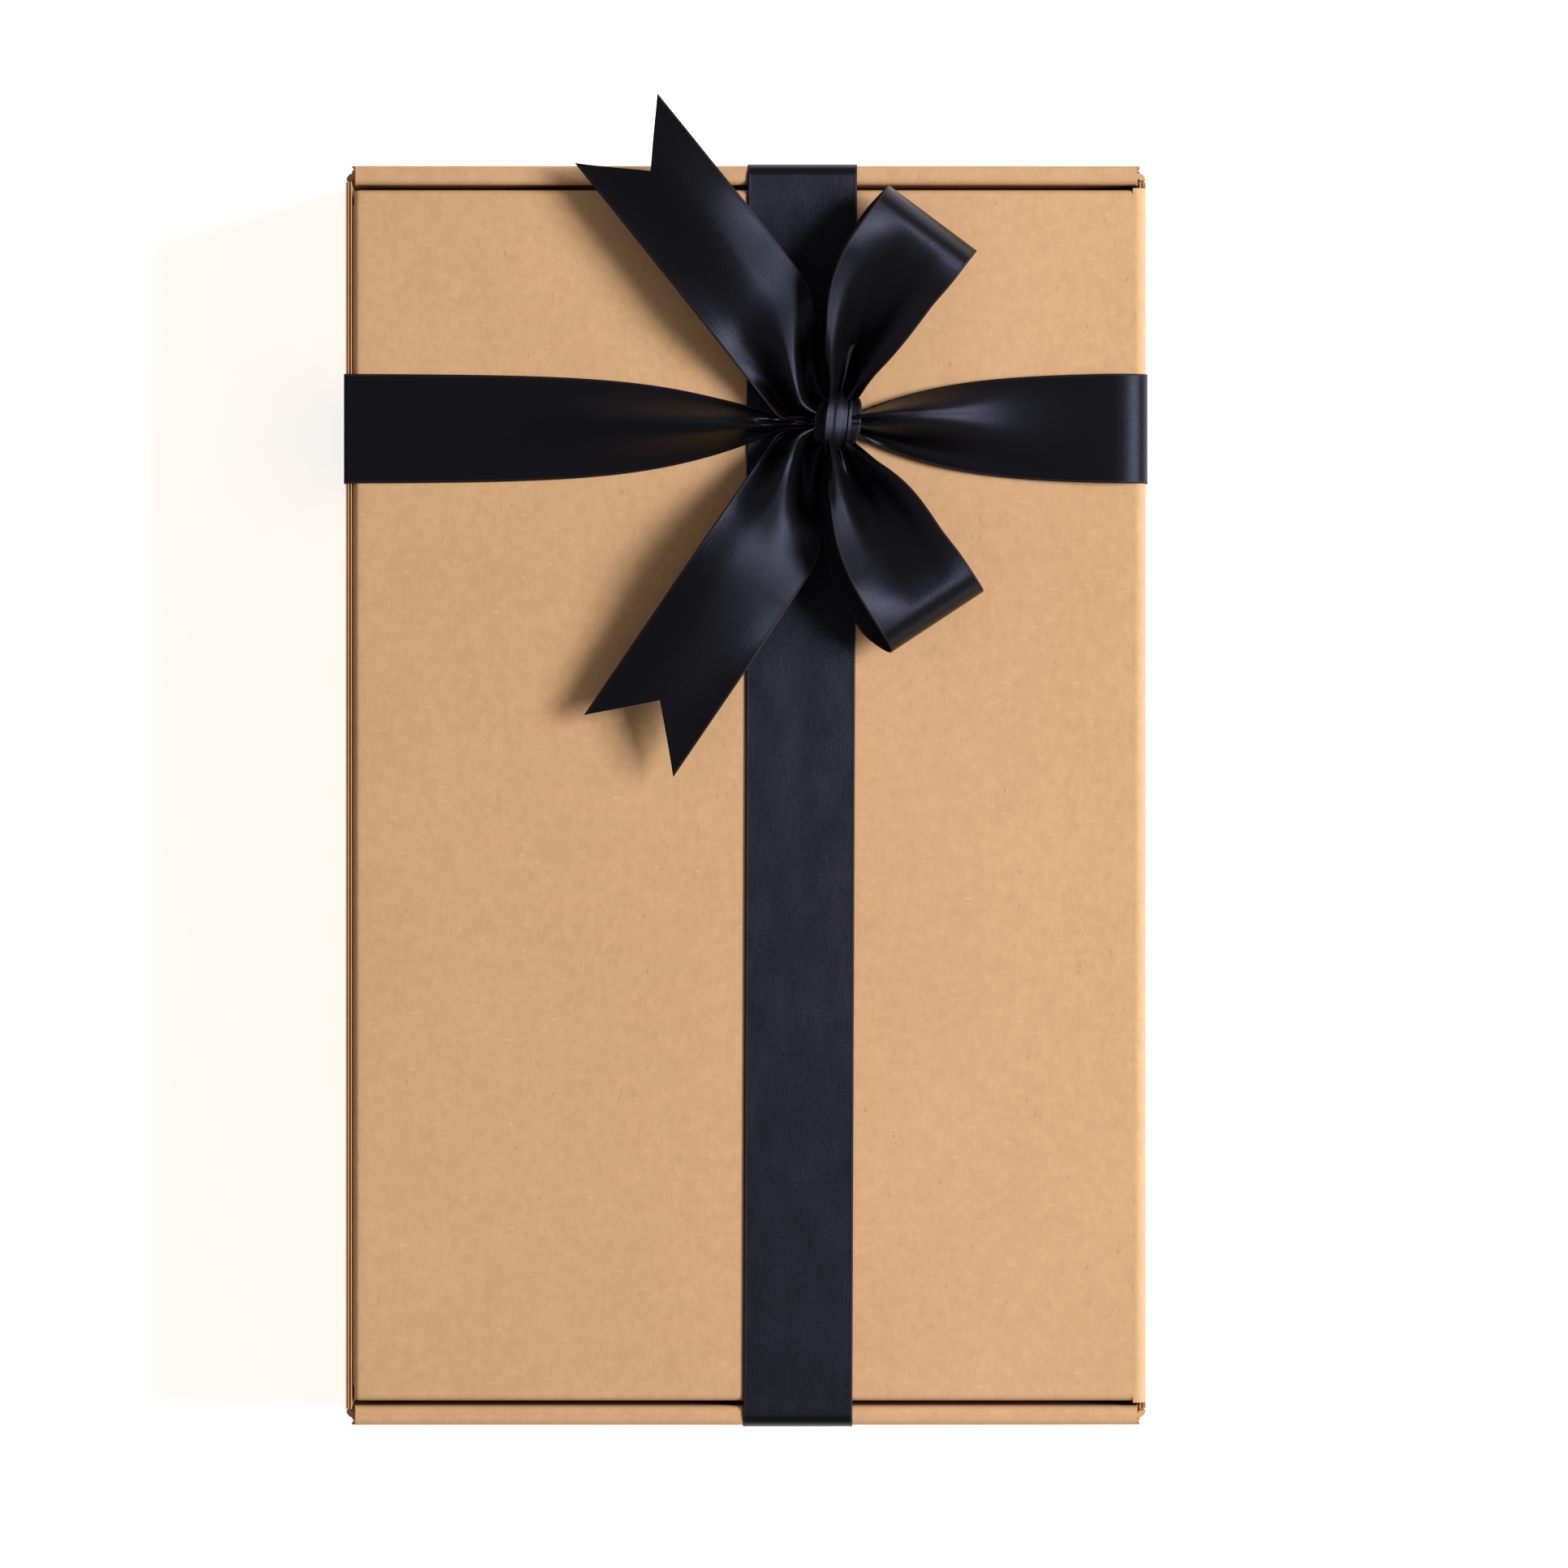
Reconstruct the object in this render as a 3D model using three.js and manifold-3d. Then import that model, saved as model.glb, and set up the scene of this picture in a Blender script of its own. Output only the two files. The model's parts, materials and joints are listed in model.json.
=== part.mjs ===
// A gift box: a folded case of fine corrugated kraft board with a hinged, tucked lid, tied both ways with a
// satin ribbon that ends in a bow. Millimetres, +Z up. X runs from the front wall to the rear hinge, Y runs
// along the box from south to north, and the origin is the middle of the footprint, on the ground.

import Module from 'manifold-3d';
import * as THREE from 'three';
import { mergeVertices } from 'three/addons/utils/BufferGeometryUtils.js';

// Case
const boxWide = 183; // over the front and rear walls
const boxLong = 288; // over both end walls
const boxHigh = 60; // underside of the bottom panel to the top of the lid
const board = 1.4; // one ply of board
const bend = 1; // radius of a fold, at the middle of the ply
const play = 0.1; // air between two plies that lie together
const gap = 0.3; // air at a fold, between one panel and the next

// Ribbon
const ribbonWide = 25;
const ribbonThick = 0.35;
const longMiddle = 12.35; // X of the long run, halfway along the box
const longTurn = -0.22; // degrees the long run is off square
const crossMiddle = 83.8; // Y of the cross run

// Lid and flaps
const lidFront = 89.6; // X from the middle of the box to the lid's front fold
const lidEnd = 138.4; // Y from the middle of the box to the lid's end fold
const lidHingeX = 90.1;
const tuckDeep = 32;
const dustDeep = 30;
const tuckTilt = 6; // degrees each flap leans inwards when the box is shut
const dustTilt = 2;
const mitreRoom = 1.6; // room that each flap leaves beside the 45 degree line between two flaps

// Walls: how far each piece stops short of its neighbour
const wallRoom = 0.7; // the front and rear walls' ends, before the end walls' outer plies
const outerInset = 1.3; // the end walls' outer plies, before the long walls' faces
const rollInset = 2.2; // the rolled edges, before the long walls' faces
const innerRoom = 0.5; // the end walls' inner plies, before the long walls
const cornerFlap = { long: 55, lowRoom: 0.4, topRoom: 0.9 };

// Knot and bow, seen from above: distances run out from the knot's middle
const knot = { x: 18.8, y: 85, halfX: 6.3, halfY: 6.8, low: 0.8, high: 10 };
const loops = {
  north: { turn: 53.4, reach: 51.5, tailSide: 20.8, outSide: 4.3 },
  south: { turn: -56.6, reach: 51.8, tailSide: 16.4, outSide: 8.7 },
};
const tails = {
  north: { turn: 128.7, reach: 82.4, heights: [4.2, 8, 11.6, 12.2, 10.4] },
  south: { turn: -124.4, reach: 86.6, heights: [4.2, 8.6, 12.8, 11.8, 8.8] },
};
const loopThick = 0.8;
const tailThick = 0.6;
const notchDeep = 12.8;
// X of each arm's tip and the length over which it widens
const arms = { front: { tip: 12, fade: 33 }, rear: { tip: 19, fade: 29 } };

// Levels and faces that follow from the sizes above
const underside = 2 * (ribbonThick + play); // the two ribbon runs cross under the box
const lidTop = underside + boxHigh;
const lidUnder = lidTop - board;
const wallFace = boxWide / 2;
const endFace = boxLong / 2;
const innerFace = endFace - 3 * board - 2 * play; // inside of the doubled end wall
const rollDeep = 2.2; // height of the rolled edge's legs below the lid's top
const rollTop = lidTop - rollDeep - gap;

const wasm = await Module();
wasm.setup();

const X = new THREE.Vector3(1, 0, 0);
const Y = new THREE.Vector3(0, 1, 0);
const Z = new THREE.Vector3(0, 0, 1);
const degrees = THREE.MathUtils.degToRad;
const quarter = Math.PI / 2;

function solidOf(geometry) {
  const bare = geometry.clone();
  bare.deleteAttribute('normal');
  bare.deleteAttribute('uv');
  const merged = mergeVertices(bare, 1e-4);
  const vertProperties = new Float32Array(merged.attributes.position.array);
  const triVerts = new Uint32Array(merged.index.array);
  return new wasm.Manifold(new wasm.Mesh({ numProp: 3, vertProperties, triVerts }));
}

function geometryOf(solid) {
  const { vertProperties, triVerts } = solid.getMesh();
  const geometry = new THREE.BufferGeometry();
  geometry.setAttribute('position', new THREE.BufferAttribute(new Float32Array(vertProperties), 3));
  geometry.setIndex(new THREE.BufferAttribute(new Uint32Array(triVerts), 1));
  geometry.computeVertexNormals();
  return geometry;
}

function prism(shape, from, to) {
  const settings = { depth: to - from, bevelEnabled: false, curveSegments: 6 };
  const geometry = new THREE.ExtrudeGeometry(shape, settings);
  return geometry.translate(0, 0, from);
}

// An outline drawn in X and Z, carried along Y
function alongY(shape, from, to) {
  return prism(shape, -to, -from).applyMatrix4(new THREE.Matrix4().makeBasis(X, Z, Y.clone().negate()));
}

// An outline drawn in Y and Z, carried along X
function alongX(shape, from, to) {
  return prism(shape, from, to).applyMatrix4(new THREE.Matrix4().makeBasis(Y, Z, X));
}

// The outline of a strip of one thickness whose middle follows a path
function band(path, thick, steps = 6) {
  const middle = path.getPoints(steps);
  const last = middle.length - 1;
  const across = middle.map((point, i) => {
    const before = middle[Math.max(i - 1, 0)];
    const after = middle[Math.min(i + 1, last)];
    return new THREE.Vector2(before.y - after.y, after.x - before.x).setLength(thick / 2);
  });
  const left = middle.map((point, i) => point.clone().add(across[i]));
  const right = middle.map((point, i) => point.clone().sub(across[i])).reverse();
  return new THREE.Shape([...left, ...right]);
}

function flipped(shape, side) {
  return new THREE.Shape(shape.getPoints(6).map((point) => new THREE.Vector2(point.x * side, point.y)));
}

function kraft() {
  return new THREE.MeshStandardMaterial({ color: 0xd2a87d, roughness: 0.85, metalness: 0 });
}

function satin() {
  return new THREE.MeshStandardMaterial({ color: 0x1b1b21, roughness: 0.4, metalness: 0 });
}

const sides = { south: -1, north: 1 };
const caseGroup = new THREE.Group();

function add(name, geometry, material, group = caseGroup) {
  const mesh = new THREE.Mesh(geometry, material);
  mesh.name = name;
  group.add(mesh);
  return mesh;
}

// Bottom panel, with the slots that take the end walls' lock tabs
const tabMiddle = 45;
const tabHalf = 15;
const slotRoom = 0.5;

function rectangle(x0, y0, x1, y1) {
  const corners = [[x0, y0], [x1, y0], [x1, y1], [x0, y1]];
  return corners.map(([x, y]) => new THREE.Vector2(x, y));
}

function addBottomPanel() {
  const halfX = wallFace - board / 2 - bend - gap;
  const halfY = endFace - board / 2 - bend - gap;
  const sheet = new THREE.Shape(rectangle(-halfX, -halfY, halfX, halfY));
  let panel = solidOf(prism(sheet, underside, underside + board));
  for (const side of [-1, 1]) {
    for (const middle of [-tabMiddle, tabMiddle]) {
      const slotMiddle = side * (innerFace + board / 2);
      const slotX = tabHalf + slotRoom;
      const slotY = board / 2 + slotRoom;
      const slot = new THREE.BoxGeometry(2 * slotX, 2 * slotY, boxHigh).translate(middle, slotMiddle, 0);
      panel = panel.subtract(solidOf(slot));
    }
  }
  add('bottom_panel', geometryOf(panel), kraft());
}

// A wall seen end on: it starts at the bottom panel's fold and stands up to its top
function wallOutline(face, top) {
  const path = new THREE.Path();
  path.absarc(face - board / 2 - bend, underside + board / 2 + bend, bend, -quarter, 0);
  path.lineTo(face - board / 2, top);
  return band(path, board);
}

function addFrontAndRearWalls() {
  const half = endFace - 2 * board - 2 * play - wallRoom;
  const frontTop = lidTop - gap;
  const rearTop = lidUnder - 2 * gap; // leaves the lid's edge room to swing
  add('front_wall', alongY(flipped(wallOutline(wallFace, frontTop), -1), -half, half), kraft());
  add('rear_wall', alongY(wallOutline(wallFace, rearTop), -half, half), kraft());
}

// Each end wall is rolled over at its top: an outer ply, a narrow flat edge and an inner ply
function rolledEdgeOutline() {
  const outer = endFace - board / 2;
  const inner = innerFace + board / 2;
  const radius = 0.9;
  const level = lidTop - board / 2 - radius;
  const path = new THREE.Path();
  path.moveTo(outer, lidTop - rollDeep);
  path.absarc(outer - radius, level, radius, 0, quarter);
  path.absarc(inner + radius, level, radius, quarter, Math.PI);
  path.lineTo(inner, lidTop - rollDeep);
  return band(path, board);
}

function innerWallOutline() {
  const half = wallFace - board - innerRoom;
  const tabTaper = 1;
  const low = underside + board + play;
  const tabLow = underside + play;
  const shape = new THREE.Shape();
  shape.moveTo(-half, rollTop);
  shape.lineTo(-half, low);
  for (const middle of [-tabMiddle, tabMiddle]) {
    shape.lineTo(middle - tabHalf, low);
    shape.lineTo(middle - tabHalf + tabTaper, tabLow);
    shape.lineTo(middle + tabHalf - tabTaper, tabLow);
    shape.lineTo(middle + tabHalf, low);
  }
  shape.lineTo(half, low);
  shape.lineTo(half, rollTop);
  return shape;
}

function addEndWalls() {
  const outerHalf = wallFace - outerInset;
  const rollHalf = wallFace - rollInset;
  for (const [end, side] of Object.entries(sides)) {
    const outer = flipped(wallOutline(endFace, rollTop), side);
    add(`end_wall_outer_${end}`, alongX(outer, -outerHalf, outerHalf), kraft());
    add(`roll_edge_${end}`, alongX(flipped(rolledEdgeOutline(), side), -rollHalf, rollHalf), kraft());
    const faces = [side * innerFace, side * (innerFace + board)].sort((a, b) => a - b);
    add(`end_wall_inner_${end}`, alongY(innerWallOutline(), ...faces), kraft());
  }
}

// Corner flaps run round the upright corners and lie between the two plies of the end walls
function addCornerFlaps() {
  const low = underside + board + cornerFlap.lowRoom;
  const high = rollTop - cornerFlap.topRoom;
  const turnX = wallFace - board / 2 - bend;
  const turnY = endFace - board - play - board / 2 - bend;
  const path = new THREE.Path();
  path.absarc(turnX, turnY, bend, 0, quarter);
  path.lineTo(turnX - cornerFlap.long, turnY + bend);
  const outline = band(path, board).getPoints();
  for (const [wall, sideX] of [['front', -1], ['rear', 1]]) {
    for (const [end, sideY] of Object.entries(sides)) {
      const shape = new THREE.Shape(outline.map((p) => new THREE.Vector2(p.x * sideX, p.y * sideY)));
      add(`corner_flap_${wall}_${end}`, prism(shape, low, high), kraft());
    }
  }
}

// The lid is rounded where it folds into its flaps, and bevelled at the rear so that it can swing back
function addLidPanel() {
  const bevelAngle = 20;
  const bevel = board * Math.tan(degrees(bevelAngle));
  const rear = lidHingeX - gap / 2;
  const foldX = lidFront - board;
  const foldY = lidEnd - board;
  const across = new THREE.Shape();
  across.moveTo(rear, lidUnder);
  across.lineTo(rear - bevel, lidTop);
  across.absarc(-foldX, lidUnder, board, quarter, Math.PI);
  const lengthwise = new THREE.Shape();
  lengthwise.absarc(foldY, lidUnder, board, 0, quarter);
  lengthwise.absarc(-foldY, lidUnder, board, quarter, Math.PI);
  const frontBend = solidOf(alongY(across, -lidEnd, lidEnd));
  const endBends = solidOf(alongX(lengthwise, -lidFront, rear));
  const lid = frontBend.intersect(endBends);
  add('lid_panel', geometryOf(lid), kraft());
}

// A flap hangs from its fold: x along the fold, y the depth below it. Its ends are mitred at 45 degrees where
// they meet another flap, and its free corners are rounded.
function flapOutline(from, to, deep, startSlope, endSlope) {
  const round = 7;
  const shape = new THREE.Shape();
  shape.moveTo(from, -gap);
  shape.lineTo(to, -gap);
  shape.lineTo(to - endSlope * (deep - round), round - deep);
  shape.quadraticCurveTo(to - endSlope * deep, -deep, to - endSlope * deep - round, -deep);
  shape.lineTo(from + startSlope * deep + round, -deep);
  shape.quadraticCurveTo(from + startSlope * deep, -deep, from + startSlope * (deep - round), round - deep);
  return shape;
}

function addTuckFlap() {
  const half = lidEnd - board - mitreRoom;
  const flap = alongX(flapOutline(-half, half, tuckDeep, 1, 1), -board, 0);
  const mesh = add('tuck_flap', flap, kraft());
  mesh.position.set(-(lidFront - board), 0, lidUnder);
  mesh.rotation.y = degrees(-tuckTilt);
}

function addDustFlaps() {
  const from = -(lidFront - board) + mitreRoom;
  const rearReach = 86; // X of the end that hangs beside the hinge, and its slant in degrees
  const rearSlant = 15;
  const outline = flapOutline(from, rearReach, dustDeep, 1, Math.tan(degrees(rearSlant)));
  for (const [end, side] of Object.entries(sides)) {
    const faces = side > 0 ? [0, board] : [-board, 0];
    const mesh = add(`dust_flap_${end}`, alongY(outline, ...faces), kraft());
    mesh.position.set(0, side * (lidEnd - board), lidUnder);
    mesh.rotation.x = degrees(-dustTilt) * side;
  }
}

// Ribbon, once round the box each way
const half = ribbonWide / 2;
const groundMiddle = ribbonThick / 2;
const topMiddle = lidTop + play + ribbonThick / 2;
const lowRound = 1.8; // radius inside the ribbon at the box's lower and upper edges
const topRound = 1.7;
const lowTurn = lowRound + ribbonThick / 2;
const lowTurnLevel = lowRound + ribbonThick;
const topTurn = topRound + ribbonThick / 2;
const topTurnLevel = topMiddle - topTurn;

function sideRunOutline(face, top) {
  const path = new THREE.Path();
  path.absarc(face + play + ribbonThick / 2 - lowTurn, lowTurnLevel, lowTurn, -quarter, 0);
  path.lineTo(face + play + ribbonThick / 2, top);
  return band(path, ribbonThick);
}

function addLongRun() {
  const run = new THREE.Group();
  run.position.x = longMiddle;
  run.rotation.z = degrees(longTurn);
  caseGroup.add(run);
  const turnAt = endFace + play + ribbonThick / 2 - topTurn;
  const over = new THREE.Path();
  over.absarc(turnAt, topTurnLevel, topTurn, 0, quarter);
  over.absarc(-turnAt, topTurnLevel, topTurn, quarter, Math.PI);
  add('ribbon_long_top', alongX(band(over, ribbonThick), -half, half), satin(), run);
  for (const [end, side] of Object.entries(sides)) {
    const outline = flipped(sideRunOutline(endFace, topTurnLevel - gap), side);
    add(`ribbon_end_run_${end}`, alongX(outline, -half, half), satin(), run);
  }
  const reach = endFace + play + ribbonThick / 2 - lowTurn - gap;
  const under = new THREE.Shape(rectangle(-half, -reach, half, reach));
  add('ribbon_long_bottom', prism(under, 0, ribbonThick), satin(), run);
}

function addCrossRun() {
  const run = new THREE.Group();
  run.position.y = crossMiddle;
  caseGroup.add(run);
  const frontTop = lidUnder - gap;
  const hingeRoom = 3; // the ribbon bends freely over the hinge between here and the rear arm
  const rearTop = lidUnder - hingeRoom;
  const front = flipped(sideRunOutline(wallFace, frontTop), -1);
  add('ribbon_cross_front_side', alongY(front, -half, half), satin(), run);
  add('ribbon_cross_rear_side', alongY(sideRunOutline(wallFace, rearTop), -half, half), satin(), run);
  const reach = wallFace + play + ribbonThick / 2 - lowTurn - gap;
  const hump = ribbonThick + play;
  const ramp = 2.2;
  const clear = 1;
  const path = new THREE.Path();
  path.moveTo(-reach, groundMiddle);
  path.lineTo(longMiddle - half - clear - ramp, groundMiddle);
  path.lineTo(longMiddle - half - clear, groundMiddle + hump);
  path.lineTo(longMiddle + half + clear, groundMiddle + hump);
  path.lineTo(longMiddle + half + clear + ramp, groundMiddle);
  path.lineTo(reach, groundMiddle);
  add('ribbon_cross_bottom', alongY(band(path, ribbonThick), -half, half), satin(), run);
}

// Seen from above, an arm of the cross run narrows towards the knot as the hyperbolic tangent of the distance
function armPlan(from, to, tip, fade) {
  const steps = 14;
  const edges = { upper: [], lower: [] };
  for (let i = 0; i <= steps; i += 1) {
    const x = from + ((to - from) * i) / steps;
    const open = Math.tanh(Math.abs(x - tip) / fade);
    const middle = crossMiddle + (knot.y - crossMiddle) * (1 - open);
    edges.upper.push(new THREE.Vector2(x, middle + half * open));
    edges.lower.unshift(new THREE.Vector2(x, middle - half * open));
  }
  return new THREE.Shape([...edges.upper, ...edges.lower]);
}

function addArms() {
  const flat = lidTop + play;
  const flatTop = flat + ribbonThick;
  const bridge = lidTop + knot.low; // the arms pass over the long run
  const swell = lidTop + 4.6; // the gathers stand this high at the knot
  const knotRoom = 0.5;
  const spare = 1; // how far the plan reaches past the side view it is cut with
  const cut = [knot.y - 16, knot.y + 16];

  const corner = { x: -(wallFace - 0.4), z: flat - 0.5, radius: 0.5 };
  const frontEnd = knot.x - knot.halfX - knotRoom;
  const longLeft = longMiddle - half;
  const frontRise = { from: longLeft - 8, to: longLeft - 4 };
  const frontSwell = { from: -14, to: -52 };
  const front = new THREE.Shape();
  front.moveTo(corner.x - corner.radius, lidUnder);
  front.absarc(corner.x, corner.z, corner.radius, Math.PI, quarter, true);
  front.lineTo(frontRise.from, flat);
  front.lineTo(frontRise.to, bridge);
  front.lineTo(frontEnd, bridge);
  front.lineTo(frontEnd, swell);
  front.quadraticCurveTo(frontSwell.from, flatTop + 1, frontSwell.to, flatTop);
  front.absarc(corner.x, corner.z, corner.radius + ribbonThick, quarter, Math.PI);
  front.lineTo(corner.x - corner.radius - ribbonThick, lidUnder);
  const frontShape = armPlan(-wallFace - 2 * spare, frontEnd, arms.front.tip, arms.front.fade);
  const frontPlan = prism(frontShape, lidUnder - spare, swell + spare);
  const frontArm = solidOf(alongY(front, ...cut)).intersect(solidOf(frontPlan));
  add('ribbon_cross_front_arm', geometryOf(frontArm), satin());

  const rearEnd = lidHingeX - 3;
  const rearStart = knot.x + knot.halfX + knotRoom;
  const longRight = longMiddle + half;
  const rearFall = { from: longRight + 2, to: longRight + 5 };
  const rearSwell = { from: 66, to: 40 };
  const rear = new THREE.Shape();
  rear.moveTo(rearStart, swell);
  rear.lineTo(rearStart, bridge);
  rear.lineTo(rearFall.from, bridge);
  rear.lineTo(rearFall.to, flat);
  rear.lineTo(rearEnd, flat);
  rear.lineTo(rearEnd, flatTop);
  rear.lineTo(rearSwell.from, flatTop);
  rear.quadraticCurveTo(rearSwell.to, flatTop + 1, rearStart, swell);
  const rearShape = armPlan(rearStart, rearEnd + spare, arms.rear.tip, arms.rear.fade);
  const rearPlan = prism(rearShape, lidTop - spare, swell + spare);
  const rearArm = solidOf(alongY(rear, ...cut)).intersect(solidOf(rearPlan));
  add('ribbon_cross_rear_arm', geometryOf(rearArm), satin());
}

// The knot is a rounded pad: a half circle raised to a squarish curve, turned round the vertical
function knotGeometry(grow) {
  const steps = 10;
  const squareness = 0.7; // 1 is a half circle, less is squarer
  const profile = [];
  for (let i = 0; i <= steps; i += 1) {
    const angle = -quarter + (Math.PI * i) / steps;
    const out = i === 0 || i === steps ? 0 : Math.cos(angle) ** squareness;
    const up = Math.sign(Math.sin(angle)) * Math.abs(Math.sin(angle)) ** squareness;
    profile.push(new THREE.Vector2(out, up));
  }
  const middle = lidTop + (knot.low + knot.high) / 2;
  const geometry = new THREE.LatheGeometry(profile, 28).rotateX(quarter);
  geometry.scale(knot.halfX + grow, knot.halfY + grow, (knot.high - knot.low) / 2 + grow);
  return geometry.translate(knot.x, knot.y, middle);
}

function addKnot() {
  add('ribbon_knot', geometryOf(solidOf(knotGeometry(0))), satin());
}

// Bow members are drawn with x outwards from the knot and y across, then turned into place
function placed(geometry, turn) {
  return geometry.rotateZ(degrees(turn)).translate(knot.x, knot.y, lidTop);
}

function flare(distance, from, to, near, far) {
  return near + (far - near) * THREE.MathUtils.smoothstep(distance, from, to);
}

function member(path, thick, plan, turn) {
  const room = 30; // more than a member's height or half its width
  const knotAir = 0.4;
  const upright = placed(alongY(band(path, thick), -room, room), turn);
  const outline = placed(prism(plan, 0, room), turn);
  return geometryOf(solidOf(upright).intersect(solidOf(outline)).subtract(solidOf(knotGeometry(knotAir))));
}

const memberStart = 4.5;
// Each edge opens from its first width at one distance to its full width at another
const loopFlare = { tailSide: [3, 27, 4.5], outSide: [6, 24, 1] };
const tailFlare = [6, 28, 1.5];

function addLoops() {
  for (const [end, loop] of Object.entries(loops)) {
    const side = sides[end];
    const steps = 10;
    const tailEdge = [];
    const outEdge = [];
    for (let i = 0; i <= steps; i += 1) {
      const out = memberStart + ((loop.reach + 1 - memberStart) * i) / steps;
      tailEdge.push(new THREE.Vector2(out, side * flare(out, ...loopFlare.tailSide, loop.tailSide)));
      outEdge.unshift(new THREE.Vector2(out, -side * flare(out, ...loopFlare.outSide, loop.outSide)));
    }
    const fold = loop.reach - loopThick / 2;
    const path = new THREE.SplineCurve([
      new THREE.Vector2(memberStart, 6.6),
      new THREE.Vector2(16, 12.6),
      new THREE.Vector2(32, 16.2),
      new THREE.Vector2(fold - 4, 13),
      new THREE.Vector2(fold, 8.5),
      new THREE.Vector2(fold - 5, 4.2),
      new THREE.Vector2(28, 2.3),
      new THREE.Vector2(memberStart, 2.2),
    ]);
    const geometry = member(path, loopThick, new THREE.Shape([...tailEdge, ...outEdge]), loop.turn);
    add(`bow_loop_${end}`, geometry, satin());
  }
}

function addTails() {
  const straightEdge = 8.2;
  const flaredEdge = ribbonWide - straightEdge;
  const flareEnd = 30;
  for (const [end, tail] of Object.entries(tails)) {
    const side = sides[end];
    const edge = [];
    const steps = 8;
    for (let i = 0; i <= steps; i += 1) {
      const out = memberStart + ((flareEnd - memberStart) * i) / steps;
      edge.push(new THREE.Vector2(out, -side * flare(out, ...tailFlare, flaredEdge)));
    }
    const notch = new THREE.Vector2(tail.reach - notchDeep, -side * (half - straightEdge));
    const plan = new THREE.Shape([
      ...edge,
      new THREE.Vector2(tail.reach, -side * flaredEdge),
      notch,
      new THREE.Vector2(tail.reach, side * straightEdge),
      new THREE.Vector2(memberStart, side * straightEdge * 0.6),
    ]);
    const stations = [memberStart, 18, 40, 65, tail.reach + 1];
    const path = new THREE.SplineCurve(stations.map((out, i) => new THREE.Vector2(out, tail.heights[i])));
    add(`bow_tail_${end}`, member(path, tailThick, plan, tail.turn), satin());
  }
}

addBottomPanel();
addFrontAndRearWalls();
addEndWalls();
addCornerFlaps();
addLidPanel();
addTuckFlap();
addDustFlaps();
addLongRun();
addCrossRun();
addArms();
addKnot();
addLoops();
addTails();

// The north tail hangs over the box's end, so the case stands a little south of the footprint's middle
const footprint = new THREE.Box3().setFromObject(caseGroup, true);
const middle = footprint.getCenter(new THREE.Vector3());
caseGroup.position.set(-middle.x, -middle.y, -footprint.min.z);

const group = new THREE.Group();
group.add(caseGroup);

export default group;
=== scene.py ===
import json
import math

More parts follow.
